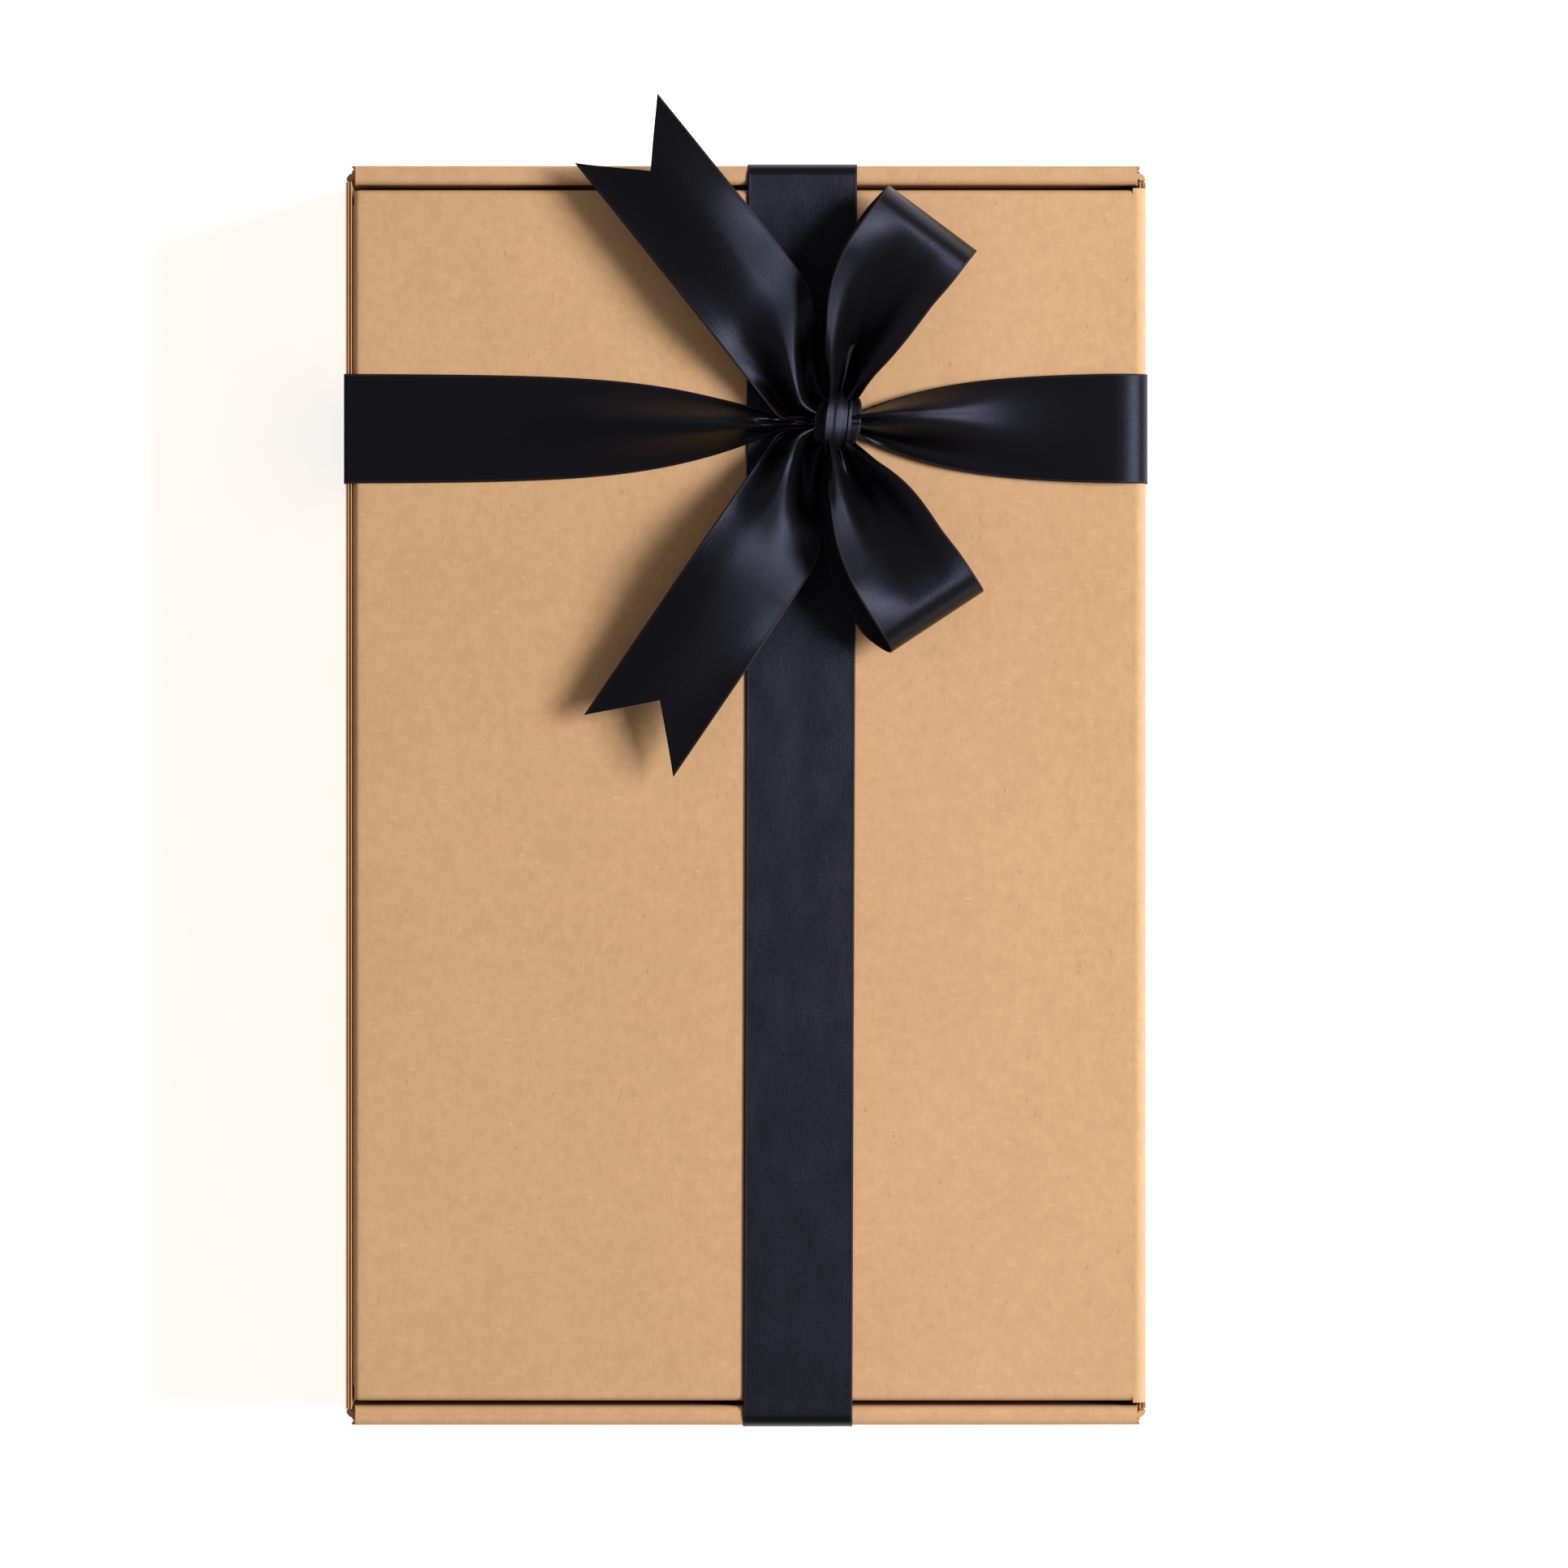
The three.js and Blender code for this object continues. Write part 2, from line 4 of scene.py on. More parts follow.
import bpy
import numpy as np
from mathutils import Vector
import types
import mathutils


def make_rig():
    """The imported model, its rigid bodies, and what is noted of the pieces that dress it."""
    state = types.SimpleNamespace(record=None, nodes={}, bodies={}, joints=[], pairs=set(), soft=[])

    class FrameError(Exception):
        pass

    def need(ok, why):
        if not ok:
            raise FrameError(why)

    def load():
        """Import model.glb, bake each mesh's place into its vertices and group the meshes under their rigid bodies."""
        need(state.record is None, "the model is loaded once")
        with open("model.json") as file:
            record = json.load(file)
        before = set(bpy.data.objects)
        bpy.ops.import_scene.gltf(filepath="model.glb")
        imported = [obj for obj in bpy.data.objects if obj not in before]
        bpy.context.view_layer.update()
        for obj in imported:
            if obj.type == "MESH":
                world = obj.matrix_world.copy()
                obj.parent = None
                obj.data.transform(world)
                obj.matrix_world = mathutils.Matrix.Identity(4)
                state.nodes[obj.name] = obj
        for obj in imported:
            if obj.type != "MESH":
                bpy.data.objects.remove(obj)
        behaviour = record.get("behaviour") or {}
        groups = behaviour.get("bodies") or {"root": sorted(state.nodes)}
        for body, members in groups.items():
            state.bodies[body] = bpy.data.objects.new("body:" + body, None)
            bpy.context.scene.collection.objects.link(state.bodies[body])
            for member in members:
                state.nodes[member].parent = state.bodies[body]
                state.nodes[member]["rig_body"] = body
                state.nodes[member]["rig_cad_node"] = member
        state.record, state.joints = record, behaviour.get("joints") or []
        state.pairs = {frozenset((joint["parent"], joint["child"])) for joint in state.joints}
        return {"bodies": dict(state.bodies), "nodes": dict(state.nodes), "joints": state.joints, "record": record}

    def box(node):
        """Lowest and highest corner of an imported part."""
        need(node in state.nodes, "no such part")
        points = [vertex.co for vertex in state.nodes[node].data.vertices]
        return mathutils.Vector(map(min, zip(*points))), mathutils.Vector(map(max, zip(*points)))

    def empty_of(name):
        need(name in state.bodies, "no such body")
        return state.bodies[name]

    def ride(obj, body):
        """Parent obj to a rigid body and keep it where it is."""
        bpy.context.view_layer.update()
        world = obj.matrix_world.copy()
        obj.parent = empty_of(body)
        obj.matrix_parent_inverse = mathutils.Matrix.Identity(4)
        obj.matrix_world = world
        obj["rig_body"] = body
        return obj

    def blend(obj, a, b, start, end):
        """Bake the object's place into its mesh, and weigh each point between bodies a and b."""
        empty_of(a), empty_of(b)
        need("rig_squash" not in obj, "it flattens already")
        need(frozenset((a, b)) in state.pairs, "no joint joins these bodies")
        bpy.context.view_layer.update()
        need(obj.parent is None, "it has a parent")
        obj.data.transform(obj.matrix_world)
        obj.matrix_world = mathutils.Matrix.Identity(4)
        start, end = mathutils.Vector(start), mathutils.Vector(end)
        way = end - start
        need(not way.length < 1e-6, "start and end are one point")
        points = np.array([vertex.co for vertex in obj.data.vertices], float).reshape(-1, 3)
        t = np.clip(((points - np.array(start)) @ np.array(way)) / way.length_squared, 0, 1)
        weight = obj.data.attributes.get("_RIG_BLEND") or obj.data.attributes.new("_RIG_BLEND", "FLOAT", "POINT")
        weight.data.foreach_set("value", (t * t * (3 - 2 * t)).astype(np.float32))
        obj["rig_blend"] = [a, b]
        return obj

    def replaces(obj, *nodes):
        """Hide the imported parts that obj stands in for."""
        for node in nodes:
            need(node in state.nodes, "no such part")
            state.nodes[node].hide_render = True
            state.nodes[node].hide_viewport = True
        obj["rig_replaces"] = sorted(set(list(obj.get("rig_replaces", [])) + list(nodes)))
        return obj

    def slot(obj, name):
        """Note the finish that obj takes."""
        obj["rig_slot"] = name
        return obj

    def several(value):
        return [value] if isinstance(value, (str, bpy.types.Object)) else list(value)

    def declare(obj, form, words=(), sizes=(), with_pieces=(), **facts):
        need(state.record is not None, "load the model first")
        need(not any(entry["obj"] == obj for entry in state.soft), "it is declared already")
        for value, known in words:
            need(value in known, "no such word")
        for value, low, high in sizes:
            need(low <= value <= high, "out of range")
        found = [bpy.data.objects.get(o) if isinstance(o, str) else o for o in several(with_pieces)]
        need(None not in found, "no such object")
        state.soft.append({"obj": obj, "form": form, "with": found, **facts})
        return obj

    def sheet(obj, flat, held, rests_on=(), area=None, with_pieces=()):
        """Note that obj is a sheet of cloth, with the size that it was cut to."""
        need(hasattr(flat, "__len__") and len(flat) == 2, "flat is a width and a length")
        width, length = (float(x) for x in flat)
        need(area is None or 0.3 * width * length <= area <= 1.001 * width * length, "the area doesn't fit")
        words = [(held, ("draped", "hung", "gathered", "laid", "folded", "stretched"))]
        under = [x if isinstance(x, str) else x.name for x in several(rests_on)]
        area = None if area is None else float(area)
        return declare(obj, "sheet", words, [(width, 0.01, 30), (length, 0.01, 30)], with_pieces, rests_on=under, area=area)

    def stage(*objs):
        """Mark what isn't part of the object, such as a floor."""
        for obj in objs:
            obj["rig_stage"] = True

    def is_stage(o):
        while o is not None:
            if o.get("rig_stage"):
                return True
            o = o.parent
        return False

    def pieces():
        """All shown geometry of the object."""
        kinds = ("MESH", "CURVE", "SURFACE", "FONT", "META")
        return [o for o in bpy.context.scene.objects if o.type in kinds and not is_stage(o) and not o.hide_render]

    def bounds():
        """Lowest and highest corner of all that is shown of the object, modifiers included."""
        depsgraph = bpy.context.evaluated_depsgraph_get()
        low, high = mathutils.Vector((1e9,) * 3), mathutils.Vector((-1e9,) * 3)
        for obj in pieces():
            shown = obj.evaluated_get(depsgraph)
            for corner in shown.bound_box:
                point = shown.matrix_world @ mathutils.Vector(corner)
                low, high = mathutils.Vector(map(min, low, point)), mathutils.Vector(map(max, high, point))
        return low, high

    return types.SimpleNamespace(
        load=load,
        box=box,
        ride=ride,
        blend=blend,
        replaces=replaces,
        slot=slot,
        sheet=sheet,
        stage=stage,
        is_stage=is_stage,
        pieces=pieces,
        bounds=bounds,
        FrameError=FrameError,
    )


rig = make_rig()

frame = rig.load()
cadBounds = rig.bounds()
nodes = frame["nodes"]
mm = 0.001


def nodeBox(name):
    low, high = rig.box(name)
    return np.array(low) / mm, np.array(high) / mm


# sizes read from the frame, in millimetres; y is counted from the middle of the case
lidLow, lidHigh = nodeBox("lid_panel")
rearLow, rearHigh = nodeBox("rear_wall")
frontLow, frontHigh = nodeBox("front_wall")
endLow, endHigh = nodeBox("end_wall_outer_north")
rollLow, rollHigh = nodeBox("roll_edge_north")
tuckLow, tuckHigh = nodeBox("tuck_flap")
dustLow, dustHigh = nodeBox("dust_flap_north")
knotLow, knotHigh = nodeBox("ribbon_knot")
crossLow, crossHigh = nodeBox("ribbon_cross_front_side")
caseY = (lidLow[1] + lidHigh[1]) / 2
lidTop, lidUnder = lidHigh[2], lidLow[2]
board = lidTop - lidUnder
wallFace = rearHigh[0]
endFace = endHigh[1] - caseY
underside = nodeBox("bottom_panel")[0][2]
hinges = {joint["name"]: np.array(joint["pos_m"]) / mm for joint in frame["joints"]}
longBox = [nodeBox("ribbon_end_run_" + end) for end in ("north", "south")]
longNorth, longSouth = [(low[0] + high[0]) / 2 for low, high in longBox]
crossY = (crossLow[1] + crossHigh[1]) / 2 - caseY
knotX = (knotLow[0] + knotHigh[0]) / 2
knotY = (knotLow[1] + knotHigh[1]) / 2 - caseY
ends = {"north": 1, "south": -1}


# four corners for each cell of a grid of points
def gridFaces(rows, cols, flip=False):
    i = np.arange(rows - 1)[:, None] * cols + np.arange(cols - 1)[None, :]
    quads = np.stack([i, i + cols, i + cols + 1, i + 1], -1).reshape(-1, 4)
    return quads[:, ::-1] if flip else quads


# a closed slab: one grid above, one below, and a wall round the rim
def slab(top, bottom):
    rows, cols = top.shape[:2]
    count = rows * cols
    index = np.arange(count).reshape(rows, cols)
    rim = np.concatenate([index[:, 0], index[-1, 1:], index[-2::-1, -1], index[0, -2:0:-1]])
    after = np.roll(rim, -1)
    wall = np.stack([rim, rim + count, after + count, after], -1)[:, ::-1]
    verts = np.concatenate([top.reshape(-1, 3), bottom.reshape(-1, 3)])
    faces = np.concatenate([gridFaces(rows, cols), gridFaces(rows, cols, True) + count, wall])
    return verts, faces


def joined(parts):
    verts, faces, start = [], [], 0
    for partVerts, partFaces in parts:
        verts.append(partVerts)
        faces.append(partFaces + start)
        start += len(partVerts)
    return np.concatenate(verts), np.concatenate(faces)


# places in millimetres about the middle of the case become a mesh in metres about the frame's origin
def newMesh(name, verts, faces, uv=None):
    mesh = bpy.data.meshes.new(name)
    placed = (np.asarray(verts, float) + [0, caseY, 0]) * mm
    mesh.vertices.add(len(placed))
    mesh.vertices.foreach_set("co", placed.astype(np.float32).ravel())
    mesh.loops.add(faces.size)
    mesh.loops.foreach_set("vertex_index", faces.astype(np.int32).ravel())
    mesh.polygons.add(len(faces))
    mesh.polygons.foreach_set("loop_start", (np.arange(len(faces)) * faces.shape[1]).astype(np.int32))
    mesh.update(calc_edges=True)
    if uv is not None:
        layer = mesh.uv_layers.new(name="cloth")
        layer.data.foreach_set("uv", uv[faces.ravel()].astype(np.float32).ravel())
    mesh.validate()
    obj = bpy.data.objects.new(name, mesh)
    bpy.context.scene.collection.objects.link(obj)
    return obj


# body is a body's name, or the two bodies that a piece bends between and where the bend starts and ends
def finishPiece(obj, material, slot, body, stands, sharpAngle):
    mesh = obj.data
    mesh.polygons.foreach_set("use_smooth", np.ones(len(mesh.polygons), bool))
    mesh.set_sharp_from_angle(angle=math.radians(sharpAngle))
    mesh.materials.append(material)
    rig.slot(obj, slot)
    if isinstance(body, str):
        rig.ride(obj, body)
    else:
        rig.blend(obj, body["from"], body["to"], start=body["start"], end=body["end"])
    if stands:
        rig.replaces(obj, *stands)


def straight(a, b, step):
    count = max(2, int(np.hypot(b[0] - a[0], b[1] - a[1]) / step) + 2)
    t = np.linspace(0, 1, count)[:, None]
    return np.array(a) * (1 - t) + np.array(b) * t


# an arc: centre plus radius times the cosine and sine of the angle; two radii make an ellipse
def arc(centre, radius, start, end, count=10):
    aside, up = np.broadcast_to(radius, 2)
    angle = np.radians(np.linspace(start, end, count))
    return np.stack([centre[0] + aside * np.cos(angle), centre[1] + up * np.sin(angle)], -1)


# pieces of a path, end to end, with repeated points left out
def chain(*parts):
    points = np.concatenate([np.atleast_2d(p) for p in parts])
    keep = np.ones(len(points), bool)
    keep[1:] = np.hypot(*(points[1:] - points[:-1]).T) > 1e-4
    return points[keep]


# the distance along a path to each of its points
def lengths(points):
    return np.concatenate([[0], np.cumsum(np.linalg.norm(np.diff(points, axis=0), axis=1))])


# a smooth curve through a few points, as a centripetal Catmull-Rom spline, then spaced evenly
def smoothPath(points, step):
    perSpan = 24
    p = np.array(points, float)
    p = np.concatenate([[2 * p[0] - p[1]], p, [2 * p[-1] - p[-2]]])
    gaps = np.sqrt(np.linalg.norm(np.diff(p, axis=0), axis=1))
    knots = np.concatenate([[0], np.cumsum(gaps)])
    spans = []
    for i in range(1, len(p) - 2):
        t = np.linspace(knots[i], knots[i + 1], perSpan, endpoint=i == len(p) - 3)[:, None]
        k = knots[i - 1:i + 3]
        a = [between(t, k[j], k[j + 1], p[i - 1 + j], p[i + j]) for j in range(3)]
        b = [between(t, k[j], k[j + 2], a[j], a[j + 1]) for j in range(2)]
        spans.append(between(t, k[1], k[2], b[0], b[1]))
    curve = np.concatenate(spans)
    along = lengths(curve)
    even = np.linspace(0, along[-1], int(along[-1] / step) + 2)
    return np.stack([np.interp(even, along, curve[:, i]) for i in range(curve.shape[1])], -1)


# straight from one value to another while t goes from start to end
def between(t, start, end, first, last):
    return (end - t) / (end - start) * first + (t - start) / (end - start) * last


# a plane path's normals: its direction turned left by a right angle
def pathNormals(points):
    d = np.gradient(points, axis=0)
    d /= np.linalg.norm(d, axis=1)[:, None]
    return np.stack([-d[:, 1], d[:, 0]], -1)


# smoothstep: 3 t squared minus 2 t cubed, with t from 0 at a to 1 at b
def ease(x, a, b):
    t = np.clip((np.asarray(x, float) - a) / (b - a), 0, 1)
    return t * t * (3 - 2 * t)


# from 0 at a to 1 at b: one less the square of what smoothstep still lacks, so that it ends softly
def opening(x, a, b):
    return 1 - (1 - ease(x, a, b)) ** 2


# a socket that adds Math nodes when it is used in an expression
class Wire:
    def __init__(self, tree, socket):
        self.tree, self.socket = tree, socket

    def math(self, kind, other=None, swap=False):
        node = self.tree.nodes.new("ShaderNodeMath")
        node.operation = kind
        values = [self, other] if not swap else [other, self]
        for i, value in enumerate(values):
            if isinstance(value, Wire):
                self.tree.links.new(value.socket, node.inputs[i])
            elif value is not None:
                node.inputs[i].default_value = value
        return Wire(self.tree, node.outputs[0])

    def __add__(self, other):
        return self.math("ADD", other)

    def __sub__(self, other):
        return self.math("SUBTRACT", other)

    def __mul__(self, other):
        return self.math("MULTIPLY", other)

    def __radd__(self, other):
        return self.math("ADD", other, True)

    def __rsub__(self, other):
        return self.math("SUBTRACT", other, True)

    def __rmul__(self, other):
        return self.math("MULTIPLY", other, True)


class Shader:
    def __init__(self, name):
        self.material = bpy.data.materials.new(name)
        self.material.use_nodes = True
        self.tree = self.material.node_tree
        self.surface = self.tree.nodes["Principled BSDF"]

    # any node: its type, its settings, then its sockets' values or wires
    def node(self, kind, settings=None, inputs=None, output=0):
        node = self.tree.nodes.new(kind)
        for key, value in (settings or {}).items():
            if key == "stops":
                for stop, (place, level) in zip(node.color_ramp.elements, value):
                    stop.position = place
                    stop.color = (level, level, level, 1)
            else:
                setattr(node, key, value)
        for key, value in (inputs or {}).items():
            if isinstance(value, Wire):
                self.tree.links.new(value.socket, node.inputs[key])
            else:
                node.inputs[key].default_value = value
        return Wire(self.tree, node.outputs[output])

    # a noise on stretched coordinates
    def noise(self, place, stretch, scale, detail, rough=0.5):
        spot = self.node("ShaderNodeMapping", None, {"Vector": place, "Scale": stretch})
        return self.node("ShaderNodeTexNoise", None,
                         {"Vector": spot, "Scale": scale, "Detail": detail, "Roughness": rough})

    # from one grey level to another as a value passes two places
    def ramp(self, value, first, second):
        return self.node("ShaderNodeValToRGB", {"stops": [first, second]}, {0: value})

    def mix(self, factor, a, b):
        return self.node("ShaderNodeMix", {"data_type": "RGBA"}, {0: factor, 6: a, 7: b}, 2)

    def set(self, **values):
        for key, value in values.items():
            socket = self.surface.inputs[key.replace("_", " ")]
            if isinstance(value, Wire):
                self.tree.links.new(value.socket, socket)
            else:
                socket.default_value = value


# a colour given as on a screen, turned into the linear numbers of a shader
def rgb(r, g, b):
    return (*[((c / 255 + 0.055) / 1.055) ** 2.4 if c > 10 else c / 3295 for c in (r, g, b)], 1.0)


kraftLook = {
    "light": rgb(210, 168, 128), "dark": rgb(178, 138, 98), "fleck": rgb(132, 92, 56),
    "pale": rgb(224, 190, 152),
    "cloudScale": 14, "mottleScale": 420, "patchScale": 160, "cellScale": 380,
    "fibreScale": 1500, "fibreStretch": (1, 0.22, 1), "acrossScale": 1300, "acrossStretch": (0.25, 1, 1),
    "cloudShare": 0.45, "mottleShare": 0.75, "fibreShare": 0.35, "darken": 0.27,
    "fleckStretch": (1, 0.5, 1), "fleckFrom": 0.56, "fleckFull": 0.64, "paleFrom": 0.66, "paleFull": 0.74,
    "fleckSize": 0.16, "fleckStrength": 0.42, "paleStrength": 0.3,
    "rough": 0.7, "roughMottle": 0.2, "specular": 0.28, "relief": 0.35, "reliefDepth": 0.12,
}


# Kraft liner: the tone is a sum of clouds, mottle and long fibres between a dark and a light brown. Dark
# flecks show where a cell's middle and a slow noise agree, pale fibres where the noise across is highest.
def kraftMaterial():
    s = Shader("kraft_board")
    place = s.node("ShaderNodeTexCoord", output=3)
    plain = (1, 1, 1)
    cloud = s.noise(place, plain, kraftLook["cloudScale"], 3, 0.55)
    mottle = s.noise(place, plain, kraftLook["mottleScale"], 4, 0.6)
    fibre = s.noise(place, kraftLook["fibreStretch"], kraftLook["fibreScale"], 2, 0.6)
    fibreAcross = s.noise(place, kraftLook["acrossStretch"], kraftLook["acrossScale"], 2, 0.6)
    patches = s.noise(place, plain, kraftLook["patchScale"], 1)

    tone = (cloud * kraftLook["cloudShare"] + mottle * kraftLook["mottleShare"]
            + fibre * kraftLook["fibreShare"] - kraftLook["darken"])
    colour = s.mix(s.node("ShaderNodeClamp", None, {0: tone}), kraftLook["dark"], kraftLook["light"])
    cells = s.node("ShaderNodeMapping", None, {"Vector": place, "Scale": kraftLook["fleckStretch"]})
    cell = s.node("ShaderNodeTexVoronoi", {"feature": "F1"},
                  {"Vector": cells, "Scale": kraftLook["cellScale"], "Randomness": 1})
    here = s.ramp(patches, (kraftLook["fleckFrom"], 0), (kraftLook["fleckFull"], 1))
    fleck = s.ramp(cell, (0, 1), (kraftLook["fleckSize"], 0)) * here
    colour = s.mix(fleck * kraftLook["fleckStrength"], colour, kraftLook["fleck"])
    paleFibre = s.ramp(fibreAcross, (kraftLook["paleFrom"], 0), (kraftLook["paleFull"], 1))
    colour = s.mix(paleFibre * kraftLook["paleStrength"], colour, kraftLook["pale"])

    height = fibre * 0.5 + fibreAcross * 0.35 + mottle * 0.3
    bump = s.node("ShaderNodeBump", None, {"Strength": kraftLook["relief"], "Height": height,
                                           "Distance": kraftLook["reliefDepth"] * mm})
    s.set(Base_Color=colour, Roughness=kraftLook["rough"] + mottle * kraftLook["roughMottle"], Normal=bump,
          Specular_IOR_Level=kraftLook["specular"])
    return s.material


# lengths in millimetres; tilt is how far the threads lean the surface across the ribbon; edge is a dark brown painted
# along the selvedges, a painted shade and painted reflection of the kraft at the ribbon's edges
satinLook = {
    "wide": 25.0, "base": rgb(8, 8, 9), "second": rgb(11, 10, 12), "edge": rgb(32, 22, 17), "rough": 0.32,
    "pitch": 0.12, "tilt": 0.30, "weft": 0.45, "weftTilt": 0.02, "streakTilt": 0.04, "driftTilt": 0.04,
    "streakStretch": (0.16, 90, 1), "streakShift": 5, "driftStretch": (0.08, 4, 1),
    "edgeShadeShare": 0.8, "edgeRough": 0.2, "streakRough": 0.08, "relief": 0.4,
    "selvedge": 0.7, "selvedgeEnd": 0.2, "selvedgeRise": 0.1, "specular": 0.27, "tint": rgb(205, 212, 255),
}


# Satin: the warp threads lean the surface across the ribbon by the sine of the distance over their pitch, so
# the shine is wide across the threads and narrow along them; streaks, a slow drift and the weft add a little.
def satinMaterial():
    s = Shader("satin_ribbon")
    wide, selvedge = satinLook["wide"], satinLook["selvedge"]
    uv = s.node("ShaderNodeUVMap", {"uv_map": "cloth"})
    along = s.node("ShaderNodeSeparateXYZ", None, {0: uv}, 0)
    across = s.node("ShaderNodeSeparateXYZ", None, {0: uv}, 1)
    fromMiddle = (across - 0.5).math("ABSOLUTE") * wide
    edge = s.node("ShaderNodeMapRange", {"interpolation_type": "SMOOTHSTEP"},
                  {0: fromMiddle, 1: wide / 2 - selvedge, 2: wide / 2 - satinLook["selvedgeEnd"], 3: 0, 4: 1})
    streak = s.noise(uv, satinLook["streakStretch"], 1, 2)
    drift = s.noise(uv, satinLook["driftStretch"], 1, 1)
    warp = (across * (wide / satinLook["pitch"] * math.tau)
            + streak * satinLook["streakShift"]).math("SINE")
    weft = (along * (math.tau / satinLook["weft"])).math("SINE")
    lean = (warp * (satinLook["tilt"] / 2) + (streak - 0.5) * satinLook["streakTilt"]
            + (drift - 0.5) * satinLook["driftTilt"])
    facing = s.node("ShaderNodeCombineXYZ", None, {0: 0.5 + weft * satinLook["weftTilt"], 1: 0.5 + lean, 2: 1})
    threads = s.node("ShaderNodeNormalMap", {"uv_map": "cloth"}, {"Color": facing})
    bump = s.node("ShaderNodeBump", None, {"Strength": satinLook["relief"], "Height": edge, "Normal": threads,
                                           "Distance": satinLook["selvedgeRise"] * mm})
    tone = s.mix(streak, satinLook["base"], satinLook["second"])
    # dark brown mixed in at the selvedges: painted shade and painted reflection of the kraft along the ribbon's edges
    tone = s.mix(edge * satinLook["edgeShadeShare"], tone, satinLook["edge"])
    rough = satinLook["rough"] + edge * satinLook["edgeRough"] + (streak - 0.5) * satinLook["streakRough"]
    s.set(Base_Color=tone, Roughness=rough, Normal=bump, Specular_IOR_Level=satinLook["specular"],
          Specular_Tint=satinLook["tint"])
    return s.material


kraft = kraftMaterial()
satin = satinMaterial()
print("materials made")


# each ply of board is a liner, a wavy medium and a liner
boardPly = {"liner": 0.24, "medium": 0.18, "pitch": 3.3, "perFlute": 10, "inset": 0.12, "sharp": 40}


# enough points along a length to draw its flutes
def flutesIn(span):
    return int(span / boardPly["pitch"] * boardPly["perFlute"]) + 2


# A panel of fluted board. surface(s, v) gives the middle of the ply and its normal; the wave is half the room
# between the liners times the sine of the distance over the pitch, along v or along s.
def boardPanel(name, surface, s, v, waveAlong, body, node):
    half, liner, medium, inset = board / 2, boardPly["liner"], boardPly["medium"], boardPly["inset"]

    def sheet(a, b, offsetTop, offsetBottom):
        points, normal = surface(a, b)
        return slab(points + normal * np.broadcast_to(offsetTop, a.shape)[..., None],
                    points + normal * np.broadcast_to(offsetBottom, a.shape)[..., None])

    a, b = np.meshgrid(s, v, indexing="ij")
    parts = [sheet(a, b, half, half - liner), sheet(a, b, liner - half, -half)]
    along = s if waveAlong == "s" else v
    fine = np.linspace(along[0], along[-1], flutesIn(abs(along[-1] - along[0])))
    if waveAlong == "s":
        a, b = np.meshgrid(fine, np.concatenate([[v[0] + inset], v[1:-1], [v[-1] - inset]]), indexing="ij")
    else:
        a, b = np.meshgrid(s, fine, indexing="ij")
    distance = a if waveAlong == "s" else b
    middle = (half - liner - medium / 2) * np.sin(distance * math.tau / boardPly["pitch"])
    parts.append(sheet(a, b, middle + medium / 2, middle - medium / 2))
    finishPiece(newMesh(name, *joined(parts)), kraft, "kraft_board", body, [node], boardPly["sharp"])


# a wall whose middle follows a path in an upright plane and which runs straight across that plane
def pathSurface(path, place):
    along = lengths(path)
    side = pathNormals(path)

    def surface(s, v):
        p = np.stack([np.interp(s, along, path[:, i]) for i in (0, 1)], -1)
        n = np.stack([np.interp(s, along, side[:, i]) for i in (0, 1)], -1)
        n /= np.linalg.norm(n, axis=-1)[..., None]
        return place(p[..., 0], p[..., 1], v), place(n[..., 0], n[..., 1], v * 0)
    return surface, along


def acrossLength(side):
    return lambda h, z, v: np.stack([h * side, v, z], -1)


def acrossWidth(side):
    return lambda h, z, v: np.stack([v, h * side, z], -1)


# fold and roll are the radii, at the middle of the ply, of the fold into the bottom and of the rolled edge
wall = {"fold": 1.0, "foldTail": 0.29, "roll": 0.9, "longRows": 60, "outerRoom": 0.02}


# from the bottom panel round a quarter circle and straight up, listed from the top down
def wallPath(face, top):
    turn = board / 2 + wall["fold"]
    corner = (face - turn, underside + turn)
    return chain((face - turn - wall["foldTail"], underside + board / 2), arc(corner, wall["fold"], -90, 0, 9),
                 straight((face - board / 2, underside + turn), (face - board / 2, top), 6))[::-1]


def makeWalls():
    halfLong = (frontHigh[1] - frontLow[1]) / 2
    v = np.linspace(-halfLong, halfLong, wall["longRows"])
    surface, along = pathSurface(wallPath(wallFace, frontHigh[2]), acrossLength(-1))
    boardPanel("front_wall_board", surface, along, v, "s", "case", "front_wall")
    surface, along = pathSurface(wallPath(wallFace, rearHigh[2])[::-1], acrossLength(1))
    boardPanel("rear_wall_board", surface, along, v, "s", "case", "rear_wall")

    halfWide = (endHigh[0] - endLow[0]) / 2
    outerV = np.linspace(-halfWide, halfWide, flutesIn(2 * halfWide))
    rollHalf = (rollHigh[0] - rollLow[0]) / 2
    rollV = np.linspace(-rollHalf, rollHalf, flutesIn(2 * rollHalf))
    inner, outer = rollLow[1] - caseY + board / 2, rollHigh[1] - caseY - board / 2
    radius, level = wall["roll"], lidTop - board / 2 - wall["roll"]
    outerPath = wallPath(endFace, rollLow[2] + wall["outerRoom"])
    rollPath = chain((outer, rollLow[2]), arc((outer - radius, level), radius, 0, 90, 9),
                     arc((inner + radius, level), radius, 90, 180, 9), (inner, rollLow[2]))
    for end, side in ends.items():
        surface, along = pathSurface(outerPath[::side], acrossWidth(side))
        boardPanel(f"end_wall_outer_{end}_board", surface, along, outerV, "v", "case", f"end_wall_outer_{end}")
        surface, along = pathSurface(rollPath[::-side], acrossWidth(side))
        boardPanel(f"roll_edge_{end}_board", surface, along, rollV, "v", "case", f"roll_edge_{end}")


makeWalls()
print("walls made")


# rearStop is how far the lid's plate stops short of its crease
lid = {"rearStop": 1.5, "bendPoints": 8, "acrossPoints": 24, "alongPoints": 40, "bendRoom": 2}


